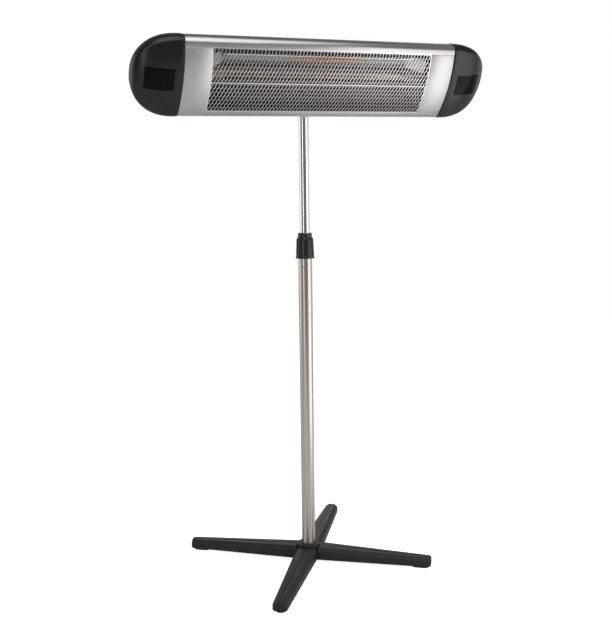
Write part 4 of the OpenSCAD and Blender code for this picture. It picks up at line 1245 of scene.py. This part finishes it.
# Each softbox: place, what it points at, width and height, and how bright its face is
studio = {
    "floor": 9, "fadeFrom": 1.5, "fadeTo": 4.2, "floorGlow": 0.8, "ambient": 0.2,
    "softboxes": {
        "overhead": ((-0.3, -1.5, 3.3), (0, -0.2, 0.4), (3.0, 2.2), 1.9),
        "leftStrip": ((-2.03, -1.62, 1.0), (0, 0, 0.9), (0.42, 1.9), 3.2),
        "leftWall": ((-2.45, 1.73, 1.1), (0, 0, 1.1), (3.0, 2.2), 1.2),
        "rightStrip": ((1.48, -2.14, 1.0), (0, 0, 0.9), (0.32, 1.9), 2.4),
        "rightWall": ((3.0, 0.1, 1.1), (0, 0, 1.1), (2.2, 2.2), 0.9),
        "backWall": ((1.2, 3.2, 1.5), (0, 0, 1.1), (3.2, 2.4), 1.2),
        "frontTop": ((-0.9, -2.7, 2.6), (0, 0, 1.2), (2.8, 1.5), 2.3),
        "lowRight": ((1.08, -0.95, 0.62), (0.33, -0.12, 1.24), (1.0, 1.6), 2.15),
    },
}


def addFloor():
    clearSelection()
    bpy.ops.mesh.primitive_plane_add(size=studio["floor"], location=(0, 0, 0))
    floor = bpy.context.object
    floor.name = "studio_floor"
    material, tree, surface, coords = startMaterial("matWhiteSweep", "#f4f3f1", roughness=0.9)
    surface.inputs["Emission Color"].default_value = (1, 1, 1, 1)
    seen = addNode(tree, "ShaderNodeLightPath")
    glow = addNode(tree, "ShaderNodeMath", {1: studio["floorGlow"]}, {0: seen.outputs["Is Camera Ray"]},
                   operation="MULTIPLY")
    tree.links.new(glow.outputs[0], surface.inputs["Emission Strength"])
    distance = addNode(tree, "ShaderNodeVectorMath", links={0: coords}, operation="LENGTH")
    fade = addNode(tree, "ShaderNodeMapRange", {"From Min": studio["fadeFrom"], "From Max": studio["fadeTo"],
                   "To Min": 1.0, "To Max": 0.0}, {"Value": distance.outputs["Value"]})
    side = addNode(tree, "ShaderNodeNewGeometry")
    above = addNode(tree, "ShaderNodeMath", {0: 1.0}, {1: side.outputs["Backfacing"]}, operation="SUBTRACT")
    solid = addNode(tree, "ShaderNodeMath", links={0: fade.outputs["Result"], 1: above.outputs[0]},
                    operation="MULTIPLY")
    tree.links.new(solid.outputs[0], surface.inputs["Alpha"])
    floor.data.materials.append(material)


def addSoftbox(name, place, aim, size, brightness):
    light = bpy.data.lights.new(name, "AREA")
    light.shape = "RECTANGLE"
    light.size, light.size_y = size
    light.energy = brightness * pi * size[0] * size[1]
    obj = bpy.data.objects.new(name, light)
    bpy.context.collection.objects.link(obj)
    obj.location = place
    obj.rotation_euler = (Vector(aim) - Vector(place)).to_track_quat("-Z", "Y").to_euler()
    obj.visible_camera = False


def addWorld():
    world = bpy.data.worlds.new("studio")
    bpy.context.scene.world = world
    world.use_nodes = True
    tree = world.node_tree
    seen = addNode(tree, "ShaderNodeLightPath")
    backdrop = tree.nodes["Background"]
    backdrop.inputs["Color"].default_value = (1, 1, 1, 1)
    spread = addNode(tree, "ShaderNodeMapRange", {"To Min": studio["ambient"], "To Max": 1.0},
                     {"Value": seen.outputs["Is Camera Ray"]})
    tree.links.new(spread.outputs["Result"], backdrop.inputs["Strength"])


addFloor()
addWorld()
for name, settings in studio["softboxes"].items():
    addSoftbox(name, *settings)

# The camera's place in metres, its turns in degrees, and its focal length in the unit of its frame
view = {
    "place": (-0.9485, -2.1967, 1.0658), "azimuth": 23.363, "pitch": 9.705, "roll": -0.714,
    "focal": 948.07, "frame": (612, 630), "sensor": 36.0,
}


def addCamera():
    az, down, roll = (radians(view[k]) for k in ("azimuth", "pitch", "roll"))
    ahead = Vector((sin(az) * cos(down), cos(az) * cos(down), -sin(down)))
    right = ahead.cross(Vector((0, 0, 1))).normalized()
    up = right.cross(ahead)
    rightRolled = cos(roll) * right + sin(roll) * up
    upRolled = -sin(roll) * right + cos(roll) * up
    camera = bpy.data.cameras.new("camera")
    camera.sensor_width = view["sensor"]
    camera.lens = view["focal"] * view["sensor"] / max(view["frame"])
    camera.dof.use_dof = False
    obj = bpy.data.objects.new("camera", camera)
    bpy.context.collection.objects.link(obj)
    turn = Matrix((rightRolled, upRolled, -ahead)).transposed().to_4x4()
    obj.matrix_world = Matrix.Translation(view["place"]) @ turn
    bpy.context.scene.camera = obj


addCamera()
bpy.context.scene.view_settings.view_transform = "Standard"
print("studio made")
